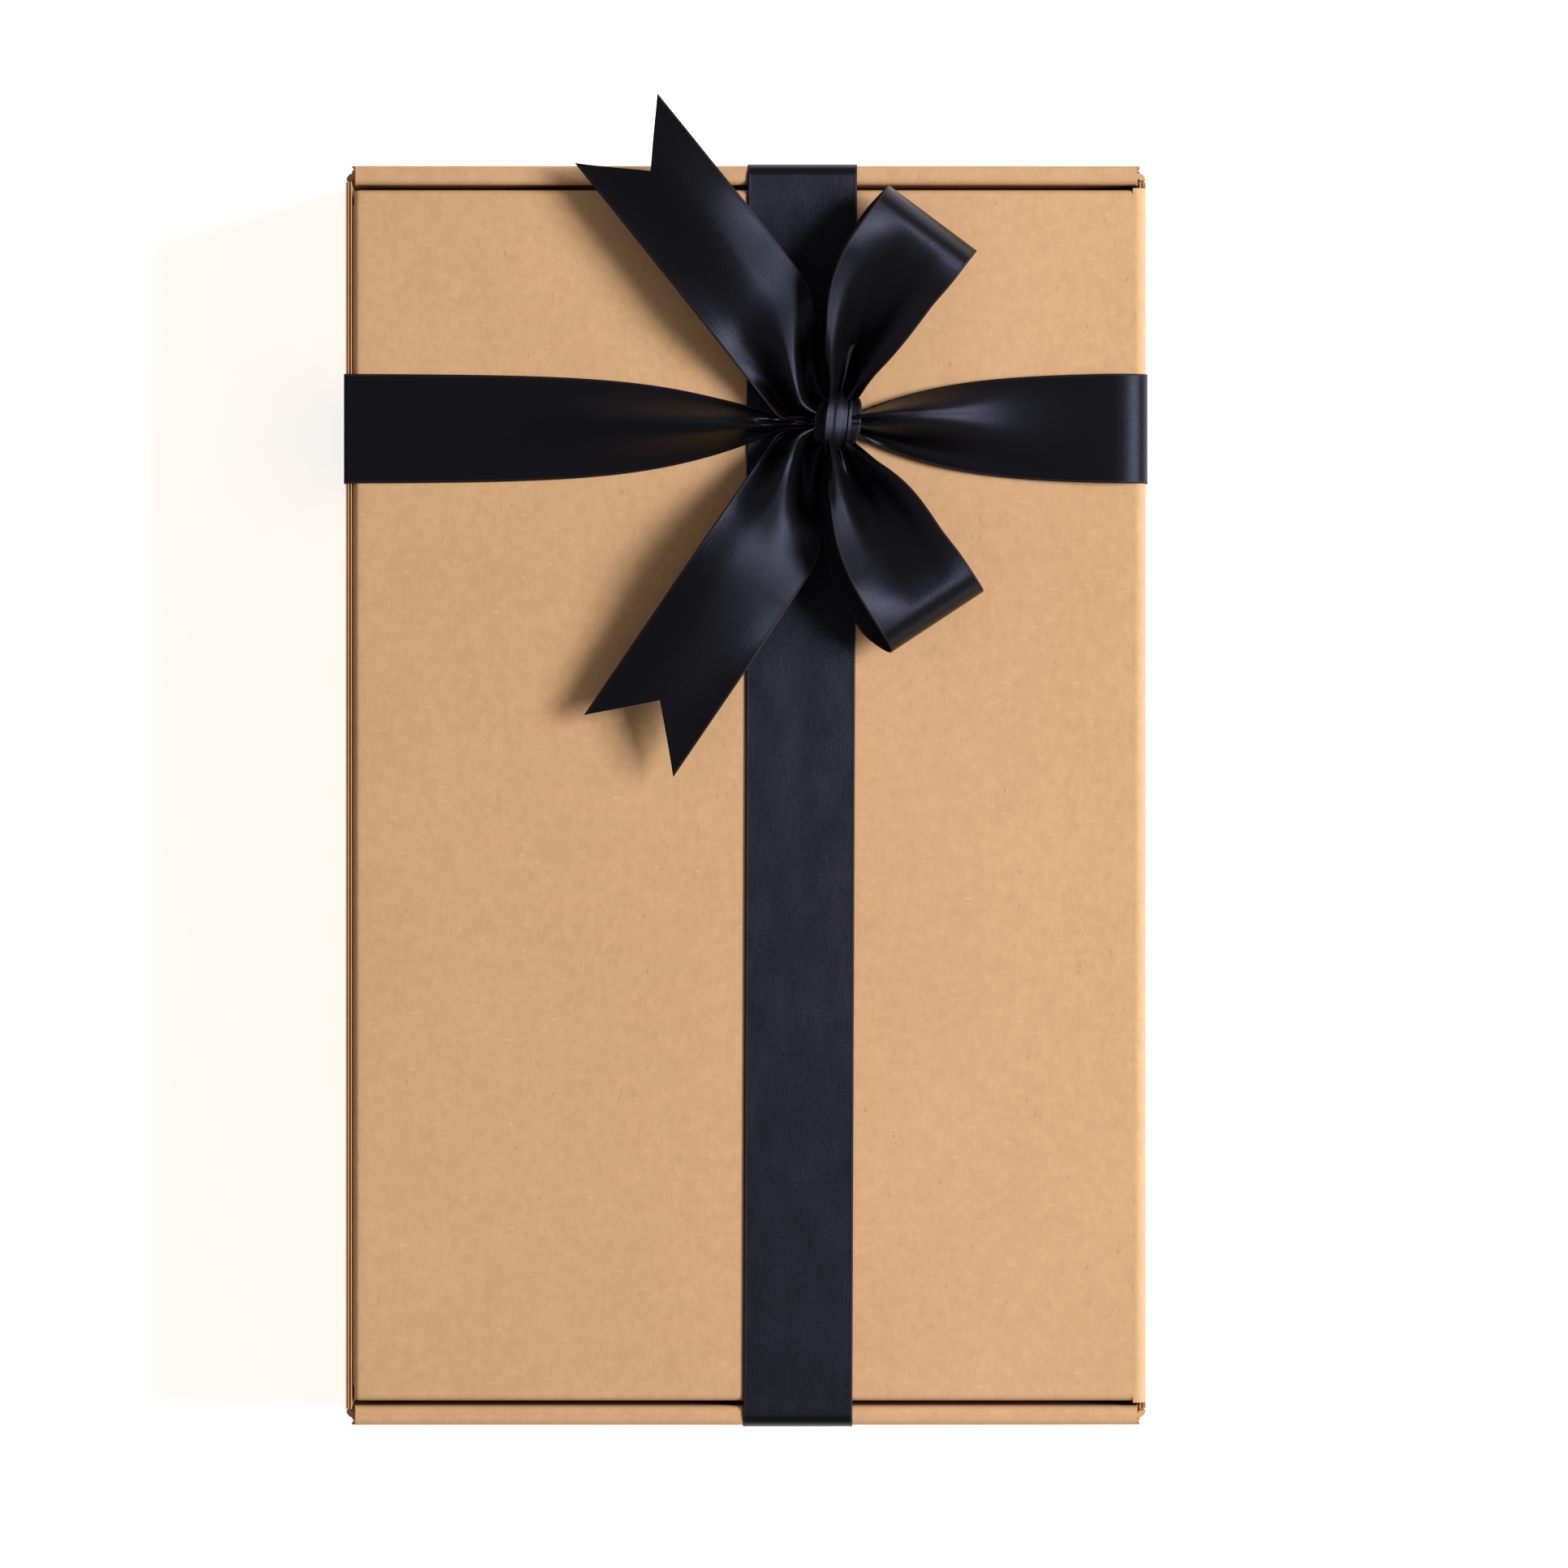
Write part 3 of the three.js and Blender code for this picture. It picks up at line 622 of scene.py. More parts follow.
# The lid is flat and turns down by a quarter circle at its front and at both ends: past a fold the place is
# the fold plus the radius times the sine of the turn, and the height the radius times both turns' cosines.
def makeLid():
    foldX = -lidLow[0] - board
    foldY = lidHigh[1] - caseY - board
    radius = board / 2

    def surface(s, v):
        over = np.clip((-foldX - s) / radius, 0, math.pi / 2)
        beyond = np.clip((np.abs(v) - foldY) / radius, 0, math.pi / 2)
        x = np.where(over > 0, -foldX - radius * np.sin(over), s)
        y = np.where(beyond > 0, np.sign(v) * (foldY + radius * np.sin(beyond)), v)
        z = lidUnder + radius * np.cos(over) * np.cos(beyond)
        normal = np.stack([-np.sin(over), np.sign(v) * np.sin(beyond) * np.cos(over),
                           np.cos(over) * np.cos(beyond)], -1)
        normal /= np.linalg.norm(normal, axis=-1)[..., None]
        return np.stack([x, y, z], -1), normal

    arcs = np.radians(np.linspace(0, 90, lid["bendPoints"])) * radius
    room = lid["bendRoom"]
    s = np.concatenate([-foldX - arcs[::-1],
                        np.linspace(-foldX + room, lidHigh[0] - lid["rearStop"], lid["acrossPoints"])])
    v = np.concatenate([-foldY - arcs[::-1], np.linspace(-foldY + room, foldY - room, lid["alongPoints"]),
                        foldY + arcs])
    boardPanel("lid_board", surface, s, v, "s", "lid", "lid_panel")


makeLid()


# tilt is how many degrees a flap leans inwards; slopes are how fast its ends run in with depth
tuckFlap = {"deep": 31.9, "slopeStart": 1.0, "slopeEnd": 1.0, "tilt": 6, "wave": "s", "points": 200}
dustFlap = {"deep": 29.9, "slopeStart": 1.0, "slopeEnd": math.tan(math.radians(15)), "tilt": 2, "wave": "v"}
flap = {"top": 0.3, "rows": 12, "corner": 2.2, "least": 0.2}


# Flaps hang from a fold. Their depth at each place along it is a soft least of the flap's depth and of what
# the two slanted ends leave: minus the logarithm of the sum of each one's exponential of minus its depth over
# the corner's softness, times that softness.
def makeFlap(node, body, fold, alongAxis, outward, start, end, spec):
    columns = flutesIn(end - start) if spec["wave"] == "v" else spec["points"]
    v = np.linspace(start, end, columns)
    deep, soft, top = spec["deep"], flap["corner"], flap["top"]
    leaves = [(v - start) / spec["slopeStart"], (end - v) / spec["slopeEnd"], deep + 0 * v]
    reach = -np.log(sum(np.exp(-depth / soft) for depth in leaves)) * soft
    reach = np.clip(reach, flap["least"], deep)
    lean = math.radians(spec["tilt"])
    alongAxis, outward, up = np.array(alongAxis), np.array(outward), np.array([0, 0, 1])
    down = -up * math.cos(lean) - outward * math.sin(lean)
    normal = outward * math.cos(lean) - up * math.sin(lean)
    origin = np.array(fold) + normal * board / 2

    def surface(s, w):
        depth = top + s / deep * (np.interp(w, v, reach) - top)
        points = origin + alongAxis * w[..., None] + down * depth[..., None]
        return points, np.broadcast_to(normal, points.shape)

    turnedOver = np.dot(np.cross(down, alongAxis), normal) < 0
    boardPanel(f"{node}_board", surface, np.linspace(0, deep, flap["rows"]), v[::-1] if turnedOver else v,
               spec["wave"], body, node)


def makeFlaps():
    half = (tuckHigh[1] - tuckLow[1]) / 2
    makeFlap("tuck_flap", "tuck", (hinges["tuck_fold"][0], 0, lidUnder), (0, 1, 0), (-1, 0, 0), -half, half,
             tuckFlap)
    for end, side in ends.items():
        foldY = hinges[f"dust_fold_{end}"][1] - caseY
        makeFlap(f"dust_flap_{end}", f"dust_{end}", (0, foldY, lidUnder), (1, 0, 0), (0, side, 0), dustLow[0],
                 dustHigh[0], dustFlap)


makeFlaps()


def framePoint(x, y, z):
    return (x * mm, (y + caseY) * mm, z * mm)


# a thin strip of liner, its section a path, that bends from one body to the next
def crease(name, path, place, v, body):
    normal = pathNormals(path)
    row, w = np.meshgrid(np.arange(len(path)), v, indexing="ij")
    layers = [path, path - normal * boardPly["liner"]]
    obj = newMesh(name, *slab(*[place(layer[row, 0], layer[row, 1], w) for layer in layers]))
    finishPiece(obj, kraft, "kraft_board", body, [], boardPly["sharp"])


# radius of the bend over the hinge; the flaps' creases are short: rise above and drop below the fold
hingeCrease = {"radius": 2.6, "skirt": 0.15, "endRoom": 1.5, "points": 60, "overlap": 0.01}
flapCrease = {"rise": 0.05, "rows": 12, "tuck": {"drop": 0.55, "lean": 0.05, "bend": 0.42, "endRoom": 0.4},
              "dust": {"drop": 0.5, "lean": -0.02, "bend": 0.4, "endRoom": 0.5}}


def flapCreasePath(edge, spec):
    rows = np.linspace(0, 1, flapCrease["rows"])
    return np.stack([edge + rows * spec["lean"], lidUnder + flapCrease["rise"] - rows * spec["drop"]], -1)


def makeCreases():
    radius = hingeCrease["radius"]
    path = chain((lidHigh[0] - lid["rearStop"] + hingeCrease["overlap"], lidTop),
                 arc((wallFace - radius, lidTop - radius), radius, 90, 0, 26),
                 (wallFace, lidTop - radius - hingeCrease["skirt"]))
    half = (rearHigh[1] - rearLow[1]) / 2 - hingeCrease["endRoom"]
    crease("rear_crease", path, acrossLength(1), np.linspace(-half, half, hingeCrease["points"]),
           {"from": "lid", "to": "case", "start": framePoint(wallFace - radius, 0, lidTop),
            "end": framePoint(wallFace, 0, lidTop - radius)})

    spec = flapCrease["tuck"]
    half = (tuckHigh[1] - tuckLow[1]) / 2 - spec["endRoom"]
    crease("tuck_crease", flapCreasePath(lidLow[0], spec), acrossLength(1), np.linspace(-half, half, 50),
           {"from": "lid", "to": "tuck", "start": framePoint(lidLow[0], 0, lidUnder),
            "end": framePoint(lidLow[0], 0, lidUnder - spec["bend"])})

    spec = flapCrease["dust"]
    edge = lidHigh[1] - caseY
    v = np.linspace(dustLow[0] + spec["endRoom"], dustHigh[0] - spec["endRoom"], 40)
    for end, side in ends.items():
        crease(f"dust_crease_{end}", flapCreasePath(edge, spec), acrossWidth(side), v,
               {"from": "lid", "to": f"dust_{end}", "start": framePoint(0, side * edge, lidUnder),
                "end": framePoint(0, side * edge, lidUnder - spec["bend"])})


makeCreases()

# plain plates that show no raw edge keep their own meshes
for name in ("bottom_panel", "end_wall_inner_north", "end_wall_inner_south", "corner_flap_front_north",
             "corner_flap_front_south", "corner_flap_rear_north", "corner_flap_rear_south"):
    nodes[name].data.materials.clear()
    nodes[name].data.materials.append(kraft)
print("board made")


ribbon = {"wide": satinLook["wide"], "thick": 0.35, "air": 0.1, "columns": 49, "sharp": 75,
          "lowRound": 1.8, "topRound": 2.6}

# across is the ribbon's own measure, from -1/2 to 1/2
across = np.linspace(-0.5, 0.5, ribbon["columns"])
halfThick = ribbon["thick"] / 2
faceGap = ribbon["air"] + halfThick
topLevel = lidTop + faceGap
lowTurn = ribbon["lowRound"] + halfThick
lowLevel = ribbon["lowRound"] + ribbon["thick"]
topTurn = ribbon["topRound"] + halfThick
longMiddle = (longNorth + longSouth) / 2


# points is a grid of places, rows along the ribbon and columns across it. The distance along the middle
# goes into the cloth map's first number and the share of the width into its second.
def clothPiece(name, points, body, stands, held, rests, flat=None, area=None):
    rows, cols = points.shape[:2]
    along = lengths(points[:, cols // 2])
    flat = flat or (ribbon["wide"], along[-1])
    uv = np.stack(np.meshgrid(along, np.linspace(0, 1, cols), indexing="ij"), -1).reshape(-1, 2)
    obj = newMesh(name, points.reshape(-1, 3), gridFaces(rows, cols), uv)
    thick = obj.modifiers.new("thickness", "SOLIDIFY")
    thick.thickness = ribbon["thick"] * mm
    thick.offset = 0
    thick.use_even_offset = False
    finishPiece(obj, satin, "satin_ribbon", body, stands, ribbon["sharp"])
    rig.sheet(obj, flat=(flat[0] * mm, flat[1] * mm), held=held, rests_on=rests,
             **({"area": area * mm * mm} if area else {}))


# the long run leans a little: its middle goes straight from one end to the other
def longPlace(h, z, w):
    middle = longMiddle + h * (longNorth - longSouth) / (2 * endFace)
    return np.stack([middle + w * ribbon["wide"], h + 0 * w, z + 0 * w], -1)


def crossPlace(h, z, w):
    return np.stack([h + 0 * w, crossY + w * ribbon["wide"] + 0 * h, z + 0 * w], -1)


def strip(path, place, flip=False):
    w = across[::-1] if flip else across
    return place(path[:, :1], path[:, 1:], w[None, :])


def makeLongRun():
    turnAt = endFace + faceGap - topTurn
    level = topLevel - topTurn
    top = chain(arc((turnAt, level), topTurn, 0, 90, 12), straight((turnAt, topLevel), (-turnAt, topLevel), 2),
                arc((-turnAt, level), topTurn, 90, 180, 12))
    clothPiece("long_run_top", strip(top, longPlace, True), "lid", ["ribbon_long_top"], "laid", ["lid_board"])
    lowAt = endFace + faceGap - lowTurn
    down = chain(arc((lowAt, lowLevel), lowTurn, -90, 0, 10),
                 straight((endFace + faceGap, lowLevel), (endFace + faceGap, level), 3))
    for end, side in ends.items():
        clothPiece(f"long_run_{end}", strip(down * [side, 1], longPlace, side > 0), "case",
                   [f"ribbon_end_run_{end}"], "stretched", [f"end_wall_outer_{end}_board"])
    under = straight((-lowAt, halfThick), (lowAt, halfThick), 3)
    clothPiece("long_run_under", strip(under, longPlace, True), "case", ["ribbon_long_bottom"], "stretched",
               ["bottom_panel"])


makeLongRun()


# Height of the pleats in each row, found by halving, so that the row's length across stays the ribbon's
# width: the row is the hump plus that height times the pleats' wave. The hump's own length is taken off the
# first edge's distance.
def pleated(edgeA, edgeB, hump, wave):
    tallest, halvings = 9.0, 24
    share = (across + 0.5)[None, :]
    y = edgeA[:, None] + (edgeB - edgeA)[:, None] * share
    edgeA = edgeA + np.hypot(np.diff(y, axis=1), np.diff(hump, axis=1)).sum(1) - (edgeB - edgeA)
    y = edgeA[:, None] + (edgeB - edgeA)[:, None] * share
    low, high = np.zeros(len(y)), np.full(len(y), tallest)
    for _ in range(halvings):
        height = (low + high) / 2
        z = hump + height[:, None] * wave
        long = np.hypot(np.diff(y, axis=1), np.diff(z, axis=1)).sum(1) > ribbon["wide"]
        high = np.where(long, height, high)
        low = np.where(long, low, height)
    return y, hump + low[:, None] * wave


# The pleats' wave is broad and single far from the knot and narrow close to it, with the share of the narrow
# one the exponential of minus the distance over a length: a cosine flattened by a hyperbolic tangent, and a
# sine.
def pleatWave(distance, broad, narrow, near, phase=0.0, plateau=0.1):
    share = np.exp(-np.clip(distance, 0, None) / near)[:, None]
    wide = np.tanh(plateau * np.cos(math.tau * broad * across[None, :] + phase)) / math.tanh(plateau)
    tight = np.sin(math.tau * narrow * (across[None, :] + 0.5) + 0.6 + phase)
    return (1 - share) * wide + share * tight


# tip is the x at which an arm would close to a point, and fade the length over which it opens; climb is where
# it rises over the long run, from that run's edge, and wave how many pleats it has far off and close by
cross = {
    "front": {"tip": 12.0, "fade": 33.0, "phase": 0.0, "inside": 3.5, "climb": (7, 1.5), "swellFrom": 4,
              "rows": 170},
    "rear": {"tip": 19.0, "fade": 29.0, "phase": -0.9, "inside": 4.4, "climb": (6, 1), "swellFrom": 3,
             "rows": 120},
    "least": 3.5, "wave": (1.0, 3.0, 6.5), "flatFrom": 0.3, "swell": 2.2, "overLong": 0.5,
    "cornerIn": 0.4, "cornerRound": 0.5, "bendAcross": 8.0, "bendDown": 4.2, "bendLift": 1.4, "liftFrom": 50,
    "hingeRoom": 2.8, "armDrop": 0.28, "sideDrop": 0.3, "underRamp": (4, 0.8), "underRows": 160,
}


# An arm's rows: half the width is the hyperbolic tangent of the distance to the tip over the fade, its middle
# goes to the knot's as it closes, and the pleats die away with smoothstep towards the far end.
def armRows(x, level, spec):
    distance = np.abs(x - spec["tip"])
    farthest = math.tanh(distance.max() / spec["fade"])
    opened = np.tanh(np.maximum(distance, cross["least"]) / spec["fade"]) / farthest
    middle = crossY + (knotY - crossY) * (1 - opened)
    half = ribbon["wide"] / 2 * opened
    wave = pleatWave(distance, *cross["wave"], spec["phase"])
    y, z = pleated(middle - half, middle + half, np.zeros((len(x), len(across))), wave)
    z = z * (1 - ease(distance, cross["flatFrom"] * distance.max(), distance.max()))[:, None]
    z = level[:, None] + z - z.min(1)[:, None]
    return np.stack([np.broadcast_to(x[:, None], y.shape), y, z], -1)


def makeFrontArm(longLeft):
    spec = cross["front"]
    cornerX, radius = wallFace - cross["cornerIn"], cross["cornerRound"] + halfThick
    corner = chain((-cornerX - radius, lidUnder - cross["armDrop"]),
                   arc((-cornerX, topLevel - radius), radius, 180, 90, 12))
    x = np.linspace(-cornerX, knotX - spec["inside"], spec["rows"])[1:]
    low, high = spec["climb"]
    level = (topLevel + cross["overLong"] * ease(x, longLeft - low, longLeft - high)
             + cross["swell"] * ease(x, longLeft - spec["swellFrom"], x[-1]))
    points = np.concatenate([strip(corner, crossPlace), armRows(x, level, spec)])
    clothPiece("cross_run_front_arm", points[:, ::-1], "lid", ["ribbon_cross_front_arm"], "gathered",
               ["lid_board", "long_run_top"])


# the rear arm rounds the hinge as a quarter of an ellipse and goes down the rear wall in one length
def makeRearArm(longRight, lowAt):
    spec = cross["rear"]
    face = wallFace + faceGap
    bend = (face - cross["bendAcross"], topLevel + cross["bendLift"] - cross["bendDown"])
    x = np.linspace(knotX + spec["inside"], bend[0], spec["rows"])[:-1]
    low, high = spec["climb"]
    level = (topLevel + cross["overLong"] * (1 - ease(x, longRight + high, longRight + low))
             + cross["swell"] * (1 - ease(x, x[0], longRight + spec["swellFrom"]))
             + cross["bendLift"] * ease(x, cross["liftFrom"], bend[0]))
    down = chain(arc(bend, (cross["bendAcross"], cross["bendDown"]), 90, 0, 40),
                 straight((face, bend[1] - 0.1), (face, lowLevel), 1.2),
                 arc((lowAt, lowLevel), lowTurn, 0, -90, 10))
    points = np.concatenate([armRows(x, level, spec), strip(down, crossPlace)])
    body = {"from": "lid", "to": "case", "start": framePoint(wallFace - cross["hingeRoom"], crossY, lidTop),
            "end": framePoint(wallFace, crossY, lidTop - cross["hingeRoom"])}
    clothPiece("cross_run_rear", points[:, ::-1], body, ["ribbon_cross_rear_arm", "ribbon_cross_rear_side"],
               "gathered", ["lid_board", "long_run_top", "rear_wall_board"])


def makeCross():
    longLeft, longRight = longMiddle - ribbon["wide"] / 2, longMiddle + ribbon["wide"] / 2
    lowAt = wallFace + faceGap - lowTurn
    makeFrontArm(longLeft)
    makeRearArm(longRight, lowAt)

    lip = -(wallFace - cross["cornerIn"]) - cross["cornerRound"] - halfThick
    drop = cross["sideDrop"]
    down = chain((lip, lidUnder - drop),
                 straight((lip, lidUnder - 2 * drop), (-wallFace - faceGap, lowLevel), 1.2),
                 arc((-lowAt, lowLevel), lowTurn, 180, 270, 10))
    clothPiece("cross_run_front", strip(down, crossPlace), "case", ["ribbon_cross_front_side"], "stretched",
               ["front_wall_board"])

    # under the box it climbs over the long run: the rise is smoothstep up times smoothstep down
    x = np.linspace(-lowAt, lowAt, cross["underRows"])
    low, high = cross["underRamp"]
    rise = ease(x, longLeft - low, longLeft - high) * (1 - ease(x, longRight + high, longRight + low))
    under = np.stack([x, halfThick + (ribbon["thick"] + ribbon["air"]) * rise], -1)
    clothPiece("cross_run_under", strip(under, crossPlace), "case", ["ribbon_cross_bottom"], "stretched",
               ["bottom_panel", "long_run_under"])


makeCross()


# where a bow member starts, and the height above the lid that it keeps over, with how firmly it keeps it
bow = {"start": 2.0, "rest": 1.5, "firm": 2.0}


# the directions away from the knot and across a member, seen from above
def directions(side, turn):
    angle = math.radians(turn)
    out = np.array([math.cos(angle), math.sin(angle)])
    return out, np.array([-out[1], out[0]]) * side


# A bow member is a path in its own upright plane. Pleats stand along the path's normal, and the ribbon stays
# above its rest height: that height plus the logarithm of one plus the exponential of the rest, over a
# firmness.
def bowSheet(path, edgeA, edgeB, wave, hump, out, left):
    y, lift = pleated(edgeA, edgeB, hump, wave)
    normal = pathNormals(path)
    r = path[:, :1] + normal[:, :1] * lift
    h = path[:, 1:] + normal[:, 1:] * lift
    h = bow["rest"] + np.logaddexp(0, (h - bow["rest"]) * bow["firm"]) / bow["firm"]
    xy = np.array([knotX, knotY]) + r[..., None] * out + y[..., None] * left
    return np.concatenate([xy, (lidTop + h)[..., None]], -1)


# turn is the direction in degrees, sides the distances from the middle line to each edge at the far end, and
# under how much the lower leg is shifted to the tail's side
loops = {
    "north": {"turn": 53.4, "reach": 51.5, "tailSide": 20.5, "outSide": 4.0, "under": 1.2, "phase": 3.0},
    "south": {"turn": -56.6, "reach": 51.8, "tailSide": 16.1, "outSide": 8.4, "under": 3.4, "phase": 3.5},
}
# pairs are the distances from the knot over which something comes or goes; the path's places are from the
# knot, apart from those of the fold, which are from the fold
loop = {
    "foldIn": 0.3, "tailStart": 3.2, "outStart": 2.0, "settle": 0.5, "wave": (1.0, 2.0, 11.0), "plateau": 1.8,
    "curl": 3.2, "curlFrom": 0.12, "curlPower": 1.3, "step": 0.7, "turnRows": (-4, 16), "shiftComes": (4, 20),
    "tailOpens": (2, 44), "outOpens": (4, 34), "settles": (28, 46), "curlComes": (6, 16), "curlGoes": (34, 47),
    "upper": [(8, 7.6), (18, 11.4), (31, 15.0)], "lower": [(28, 2.6), (12, 2.4)],
    "fold": [(-9, 16.6), (-4, 15.8), (-0.9, 12.8), (0, 9.6), (-1.4, 6.8), (-9, 3.9)],
    "startHigh": 6.2, "endHigh": 2.6,
}


# A loop goes out, folds and comes back. Its edges open out from the knot, and its tail side curls up as a
# power of the distance past the curl's start.
def makeLoops():
    for end, side in ends.items():
        spec = loops[end]
        out, left = directions(side, spec["turn"])
        fold = spec["reach"] - loop["foldIn"]
        path = smoothPath([(bow["start"], loop["startHigh"]), *loop["upper"],
                           *[(fold + x, high) for x, high in loop["fold"]], *loop["lower"],
                           (bow["start"], loop["endHigh"])], loop["step"])
        r = path[:, 0]
        apex = int(np.argmax(r))
        before, after = loop["turnRows"]
        lower = ease(np.arange(len(r)), apex + before, apex + after)
        shift = spec["under"] * lower * ease(r, *loop["shiftComes"])
        tailEdge = (loop["tailStart"] + (spec["tailSide"] - loop["tailStart"]) * opening(r, *loop["tailOpens"])
                    + loop["settle"] * ease(r, *loop["settles"]) + shift)
        outEdge = (loop["outStart"] + (spec["outSide"] - loop["outStart"]) * opening(r, *loop["outOpens"])
                   - shift)
        wave = pleatWave(r, *loop["wave"], spec["phase"], loop["plateau"])
        curl = ease(r, *loop["curlComes"]) * (1 - ease(r, *loop["curlGoes"])) * (1 - lower)
        past = np.clip(across - loop["curlFrom"], 0, None) / (0.5 - loop["curlFrom"])
        hump = curl[:, None] * loop["curl"] * past[None, :] ** loop["curlPower"]
        points = bowSheet(path, -outEdge, tailEdge, wave, hump, out, left)
        clothPiece(f"bow_loop_{end}_ribbon", points[:, ::side], "lid", [f"bow_loop_{end}"], "gathered",
                   ["knot_wrap"])


# heights stand over the stations; inner and outer tip the ribbon near the knot and near the tip, and drop
# lets its far edge hang
tails = {
    "north": {"turn": 128.7, "reach": 82.4, "heights": [4.6, 8.0, 11.6, 12.2, 10.4],
              "inner": 0.0, "outer": -3.4, "drop": 1.7},
    "south": {"turn": -124.4, "reach": 86.6, "heights": [4.6, 8.6, 12.8, 11.8, 8.8],
              "inner": 3.6, "outer": -1.2, "drop": 0.6},
}
tail = {
    "start": 3.0, "straight": 8.2, "spare": 0.25, "notch": 12.8, "wave": (1.0, 2.0, 13.0), "phase": 0.7,
    "step": 0.8, "stations": [18, 40, 65], "straightOpens": (1, 9), "flareOpens": (5, 36),
    "innerComes": (8, 18), "innerGoes": (40, 62), "outerComes": (26, 58), "droopComes": (0.12, 0.5),
}


# The swallow-tail's cut: each column stops short of the tip by the notch, less its distance from the middle,
# and its points are shared out evenly before that.
def swallowCut(points, r, reach):
    stop = np.interp(reach - tail["notch"] * (1 - np.abs(2 * across)), r, np.arange(len(r), dtype=float))
    place = np.linspace(0, 1, len(r))[:, None] * stop[None, :]
    low = np.clip(place.astype(int), 0, len(r) - 2)
    share = (place - low)[..., None]
    column = np.broadcast_to(np.arange(len(across)), place.shape)
    return points[low, column] * (1 - share) + points[low + 1, column] * share


def makeTails():
    for end, side in ends.items():
        spec = tails[end]
        out, left = directions(side, spec["turn"])
        stations = [bow["start"], *tail["stations"], spec["reach"]]
        path = smoothPath(list(zip(stations, spec["heights"])), tail["step"])
        r = path[:, 0]
        flared = ribbon["wide"] - tail["spare"] - tail["straight"]
        straightEdge = tail["start"] + (tail["straight"] - tail["start"]) * ease(r, *tail["straightOpens"])
        flaredEdge = tail["start"] + (flared - tail["start"]) * opening(r, *tail["flareOpens"])
        wave = pleatWave(r, *tail["wave"], tail["phase"] * side)
        inner = (ease(r, *tail["innerComes"]) * (1 - ease(r, *tail["innerGoes"])))[:, None]
        outer = ease(r, *tail["outerComes"])[:, None]
        droop = ease(-across, *tail["droopComes"])[None, :] * spec["drop"]
        hump = across[None, :] * (inner * spec["inner"] + outer * spec["outer"]) - inner * droop
        points = bowSheet(path, -flaredEdge, straightEdge, wave, hump, out, left)
        long = lengths(points[:, 0])[-1]
        cut = swallowCut(points, r, spec["reach"])
        clothPiece(f"bow_tail_{end}_ribbon", cut[:, ::side], "lid", [f"bow_tail_{end}"], "gathered",
                   ["knot_wrap"], (ribbon["wide"], long), ribbon["wide"] * (long - tail["notch"] / 2))


knot = {"wide": 6.4, "roll": 0.65, "crown": 0.6, "slope": 1.1, "ripple": 0.14, "ripples": 2.5, "underlap": 0.45,
        "squareness": 0.78, "pinch": 0.22, "shift": 2.1, "wander": 0.9, "startAngle": -32, "endAngle": 212,
        "narrower": 0.2, "taller": 0.4, "rows": 70, "step": 0.35, "backStep": 0.6}


# the wrap's section, folded in three: a front that is a parabola, a slope and a cosine ripple, and two
# rolled edges whose ends lie over each other behind it
def wrapSection():
    roll = knot["roll"]
    edge = knot["wide"] / 2 - roll
    front = straight((-edge, 0), (edge, 0), knot["step"])
    share = front[:, 0] / (knot["wide"] / 2)
    front[:, 1] = (knot["crown"] * (1 - share ** 2) - knot["slope"] * share
                   + knot["ripple"] * np.cos(share * math.pi * knot["ripples"]))
    back = (ribbon["wide"] - 2 * edge - 2 * math.pi * roll) / 2
    under = -2 * roll - knot["underlap"]
    return chain(straight((-edge + back, -2 * roll), (-edge, -2 * roll), knot["backStep"]),
                 arc((-edge, -roll), roll, 270, 90, 9), front, arc((edge, -roll), roll, 90, -90, 9),
                 straight((edge, under), (edge - back, under), knot["backStep"]))


# The section is carried over the knot along an ellipse whose cosine and sine are raised to a squarish power;
# it narrows and wanders with the cosine.
def makeKnot():
    section = wrapSection()
    angle = np.radians(np.linspace(knot["startAngle"], knot["endAngle"], knot["rows"]))
    cosine, sine = np.cos(angle), np.sin(angle)
    halfY = (knotHigh[1] - knotLow[1]) / 2 - knot["narrower"]
    halfZ = (knotHigh[2] - knotLow[2]) / 2 + knot["taller"]
    middleZ = (knotLow[2] + knotHigh[2]) / 2 - knot["narrower"]
    ring = np.stack([halfY * np.sign(cosine) * np.abs(cosine) ** knot["squareness"],
                     halfZ * np.sign(sine) * np.abs(sine) ** knot["squareness"]], -1)
    normal = -pathNormals(ring)
    pinch = 1 - knot["pinch"] * cosine ** 2
    x = knotX + knot["shift"] + knot["wander"] * cosine[:, None] + section[None, :, 0] * pinch[:, None]
    y = knotY + ring[:, :1] + normal[:, :1] * section[None, :, 1]
    z = middleZ + ring[:, 1:] + normal[:, 1:] * section[None, :, 1]
    clothPiece("knot_wrap", np.stack([x, y, z], -1)[::-1], "lid", ["ribbon_knot"], "folded",
               ["cross_run_front_arm", "cross_run_rear"], (ribbon["wide"], lengths(ring)[-1]))


makeKnot()
makeLoops()
makeTails()
print("bow made")


# the floor is a little bright by itself, as paper lit from below
studio = {
    "floorHalf": 4.0, "floorDrop": 0.0004, "floorColour": (0.93, 0.93, 0.93, 1), "floorGlow": 0.72,
    "skyColour": (1, 0.93, 0.84, 1), "sky": 0.28, "keyPlace": (1.38, 0.18, 1.31), "keySize": 0.8,
    "keyPower": 52,
    "viewWide": 358.4, "aimX": 8.7, "aimY": 2.6, "lens": 200, "sensor": 36, "farthest": 20,
}


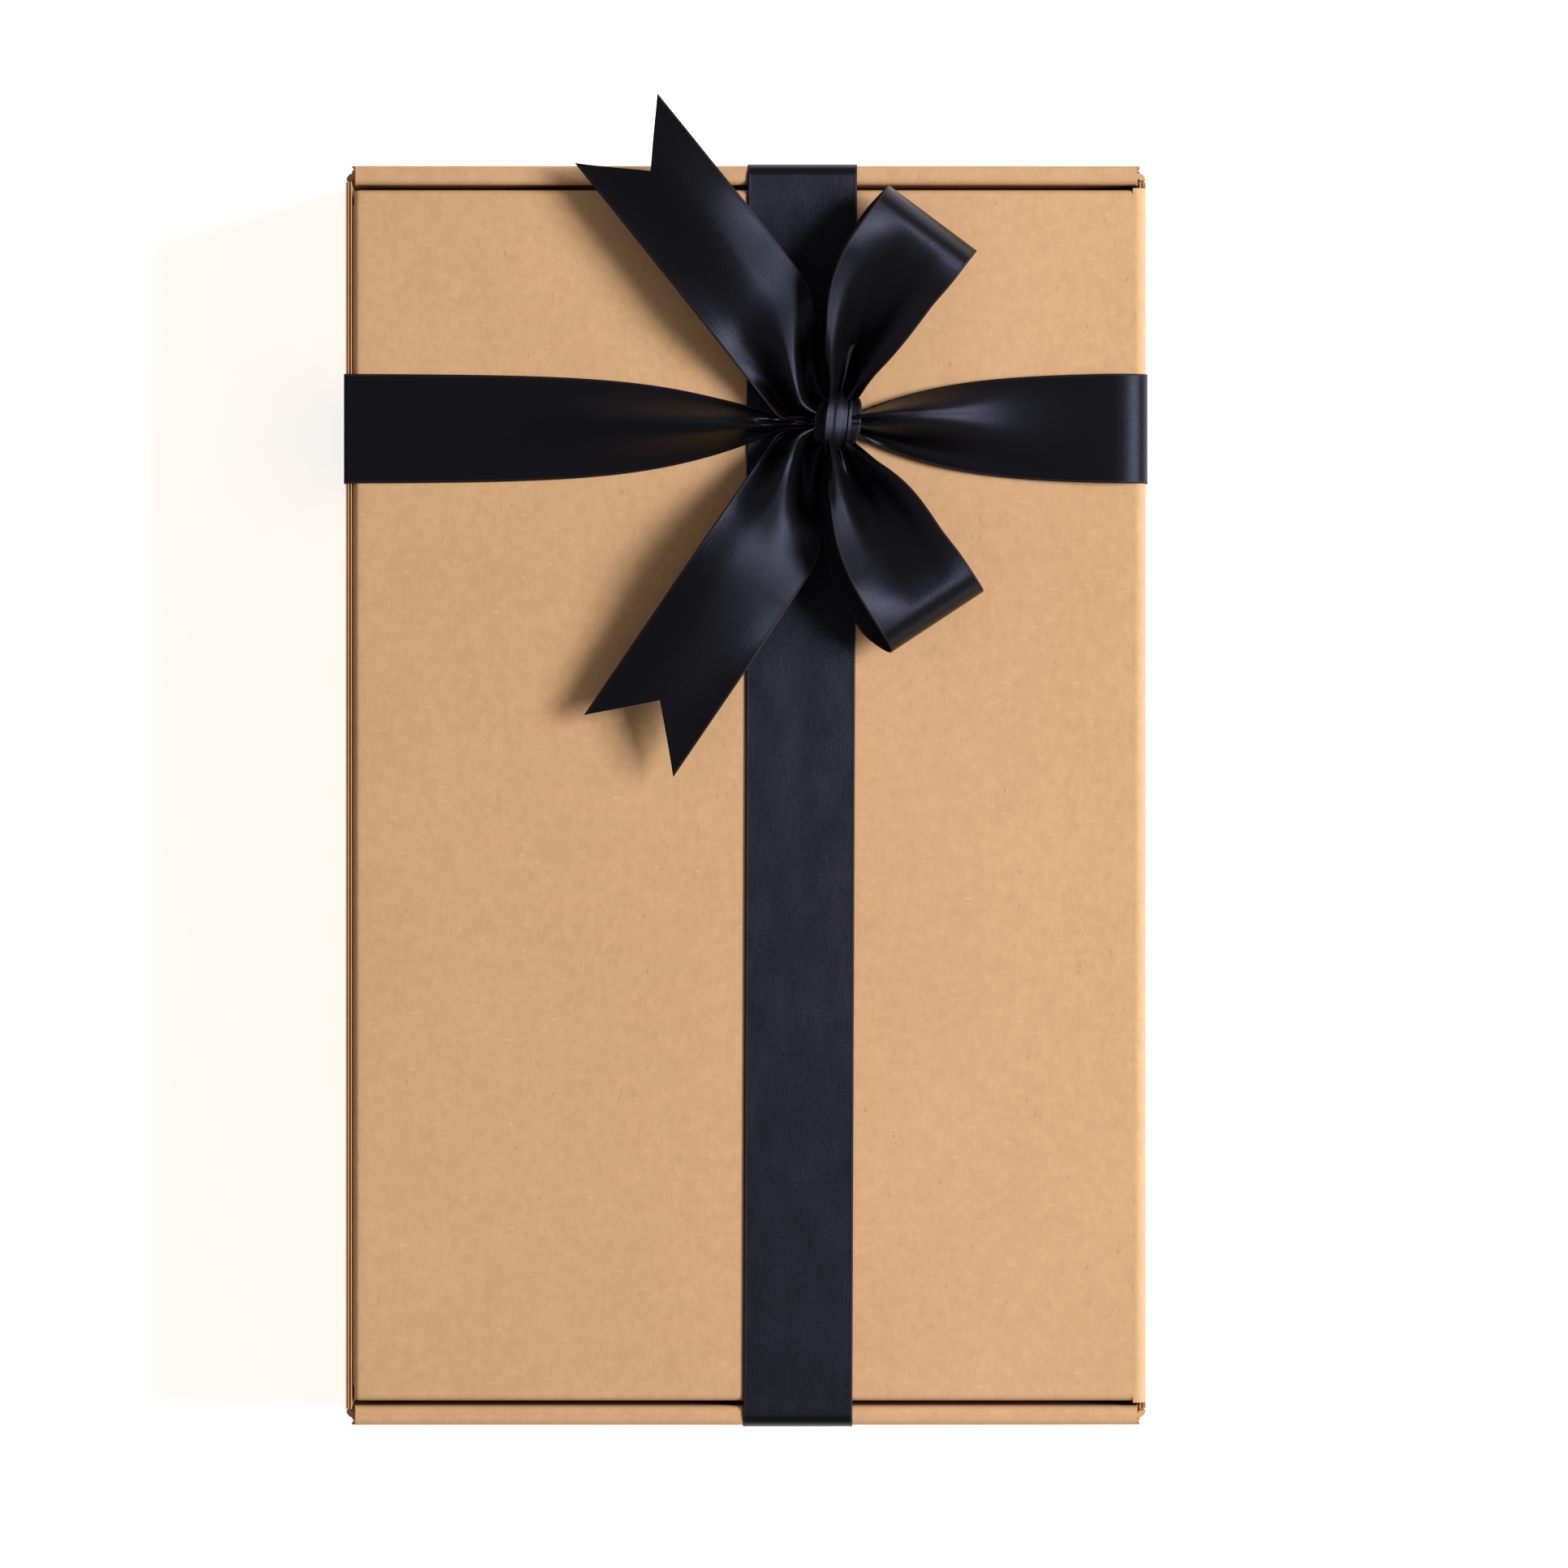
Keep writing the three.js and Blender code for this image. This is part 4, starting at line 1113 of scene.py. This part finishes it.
def makeStage():
    half, level = studio["floorHalf"], -studio["floorDrop"]
    mesh = bpy.data.meshes.new("floor")
    corners = [(-half, -half, level), (half, -half, level), (half, half, level), (-half, half, level)]
    mesh.from_pydata(corners, [], [(0, 1, 2, 3)])
    floor = bpy.data.objects.new("floor", mesh)
    bpy.context.scene.collection.objects.link(floor)
    s = Shader("floor_white")
    s.set(Base_Color=studio["floorColour"], Roughness=0.9, Specular_IOR_Level=0.1,
          Emission_Color=(1, 1, 1, 1), Emission_Strength=studio["floorGlow"])
    mesh.materials.append(s.material)
    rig.stage(floor)


# one square soft light from the rear side, aimed at the lid, and a dim warm room
def makeLights():
    world = bpy.data.worlds.new("studio")
    bpy.context.scene.world = world
    world.use_nodes = True
    background = world.node_tree.nodes["Background"]
    background.inputs[0].default_value = studio["skyColour"]
    background.inputs[1].default_value = studio["sky"]
    data = bpy.data.lights.new("key", "AREA")
    data.shape = "RECTANGLE"
    data.size = data.size_y = studio["keySize"]
    data.energy = studio["keyPower"]
    key = bpy.data.objects.new("key", data)
    bpy.context.scene.collection.objects.link(key)
    key.location = studio["keyPlace"]
    aim = Vector((0, caseY * mm, lidTop * mm)) - Vector(studio["keyPlace"])
    key.rotation_euler = aim.to_track_quat("-Z", "Y").to_euler()
    bpy.context.scene.view_settings.view_transform = "Standard"


# straight above, as far off as makes the view this wide at the lid
def makeCamera():
    data = bpy.data.cameras.new("camera")
    data.lens = studio["lens"]
    data.sensor_width = studio["sensor"]
    data.clip_end = studio["farthest"]
    away = studio["viewWide"] * studio["lens"] / studio["sensor"]
    camera = bpy.data.objects.new("camera", data)
    bpy.context.scene.collection.objects.link(camera)
    camera.location = (studio["aimX"] * mm, (caseY + studio["aimY"]) * mm, (lidTop + away) * mm)
    bpy.context.scene.camera = camera


makeStage()
makeLights()
makeCamera()
print("stage made")

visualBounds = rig.bounds()
with open("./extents.json", "w") as out:
    json.dump({"cad": [list(p) for p in cadBounds], "visual": [list(p) for p in visualBounds]}, out)
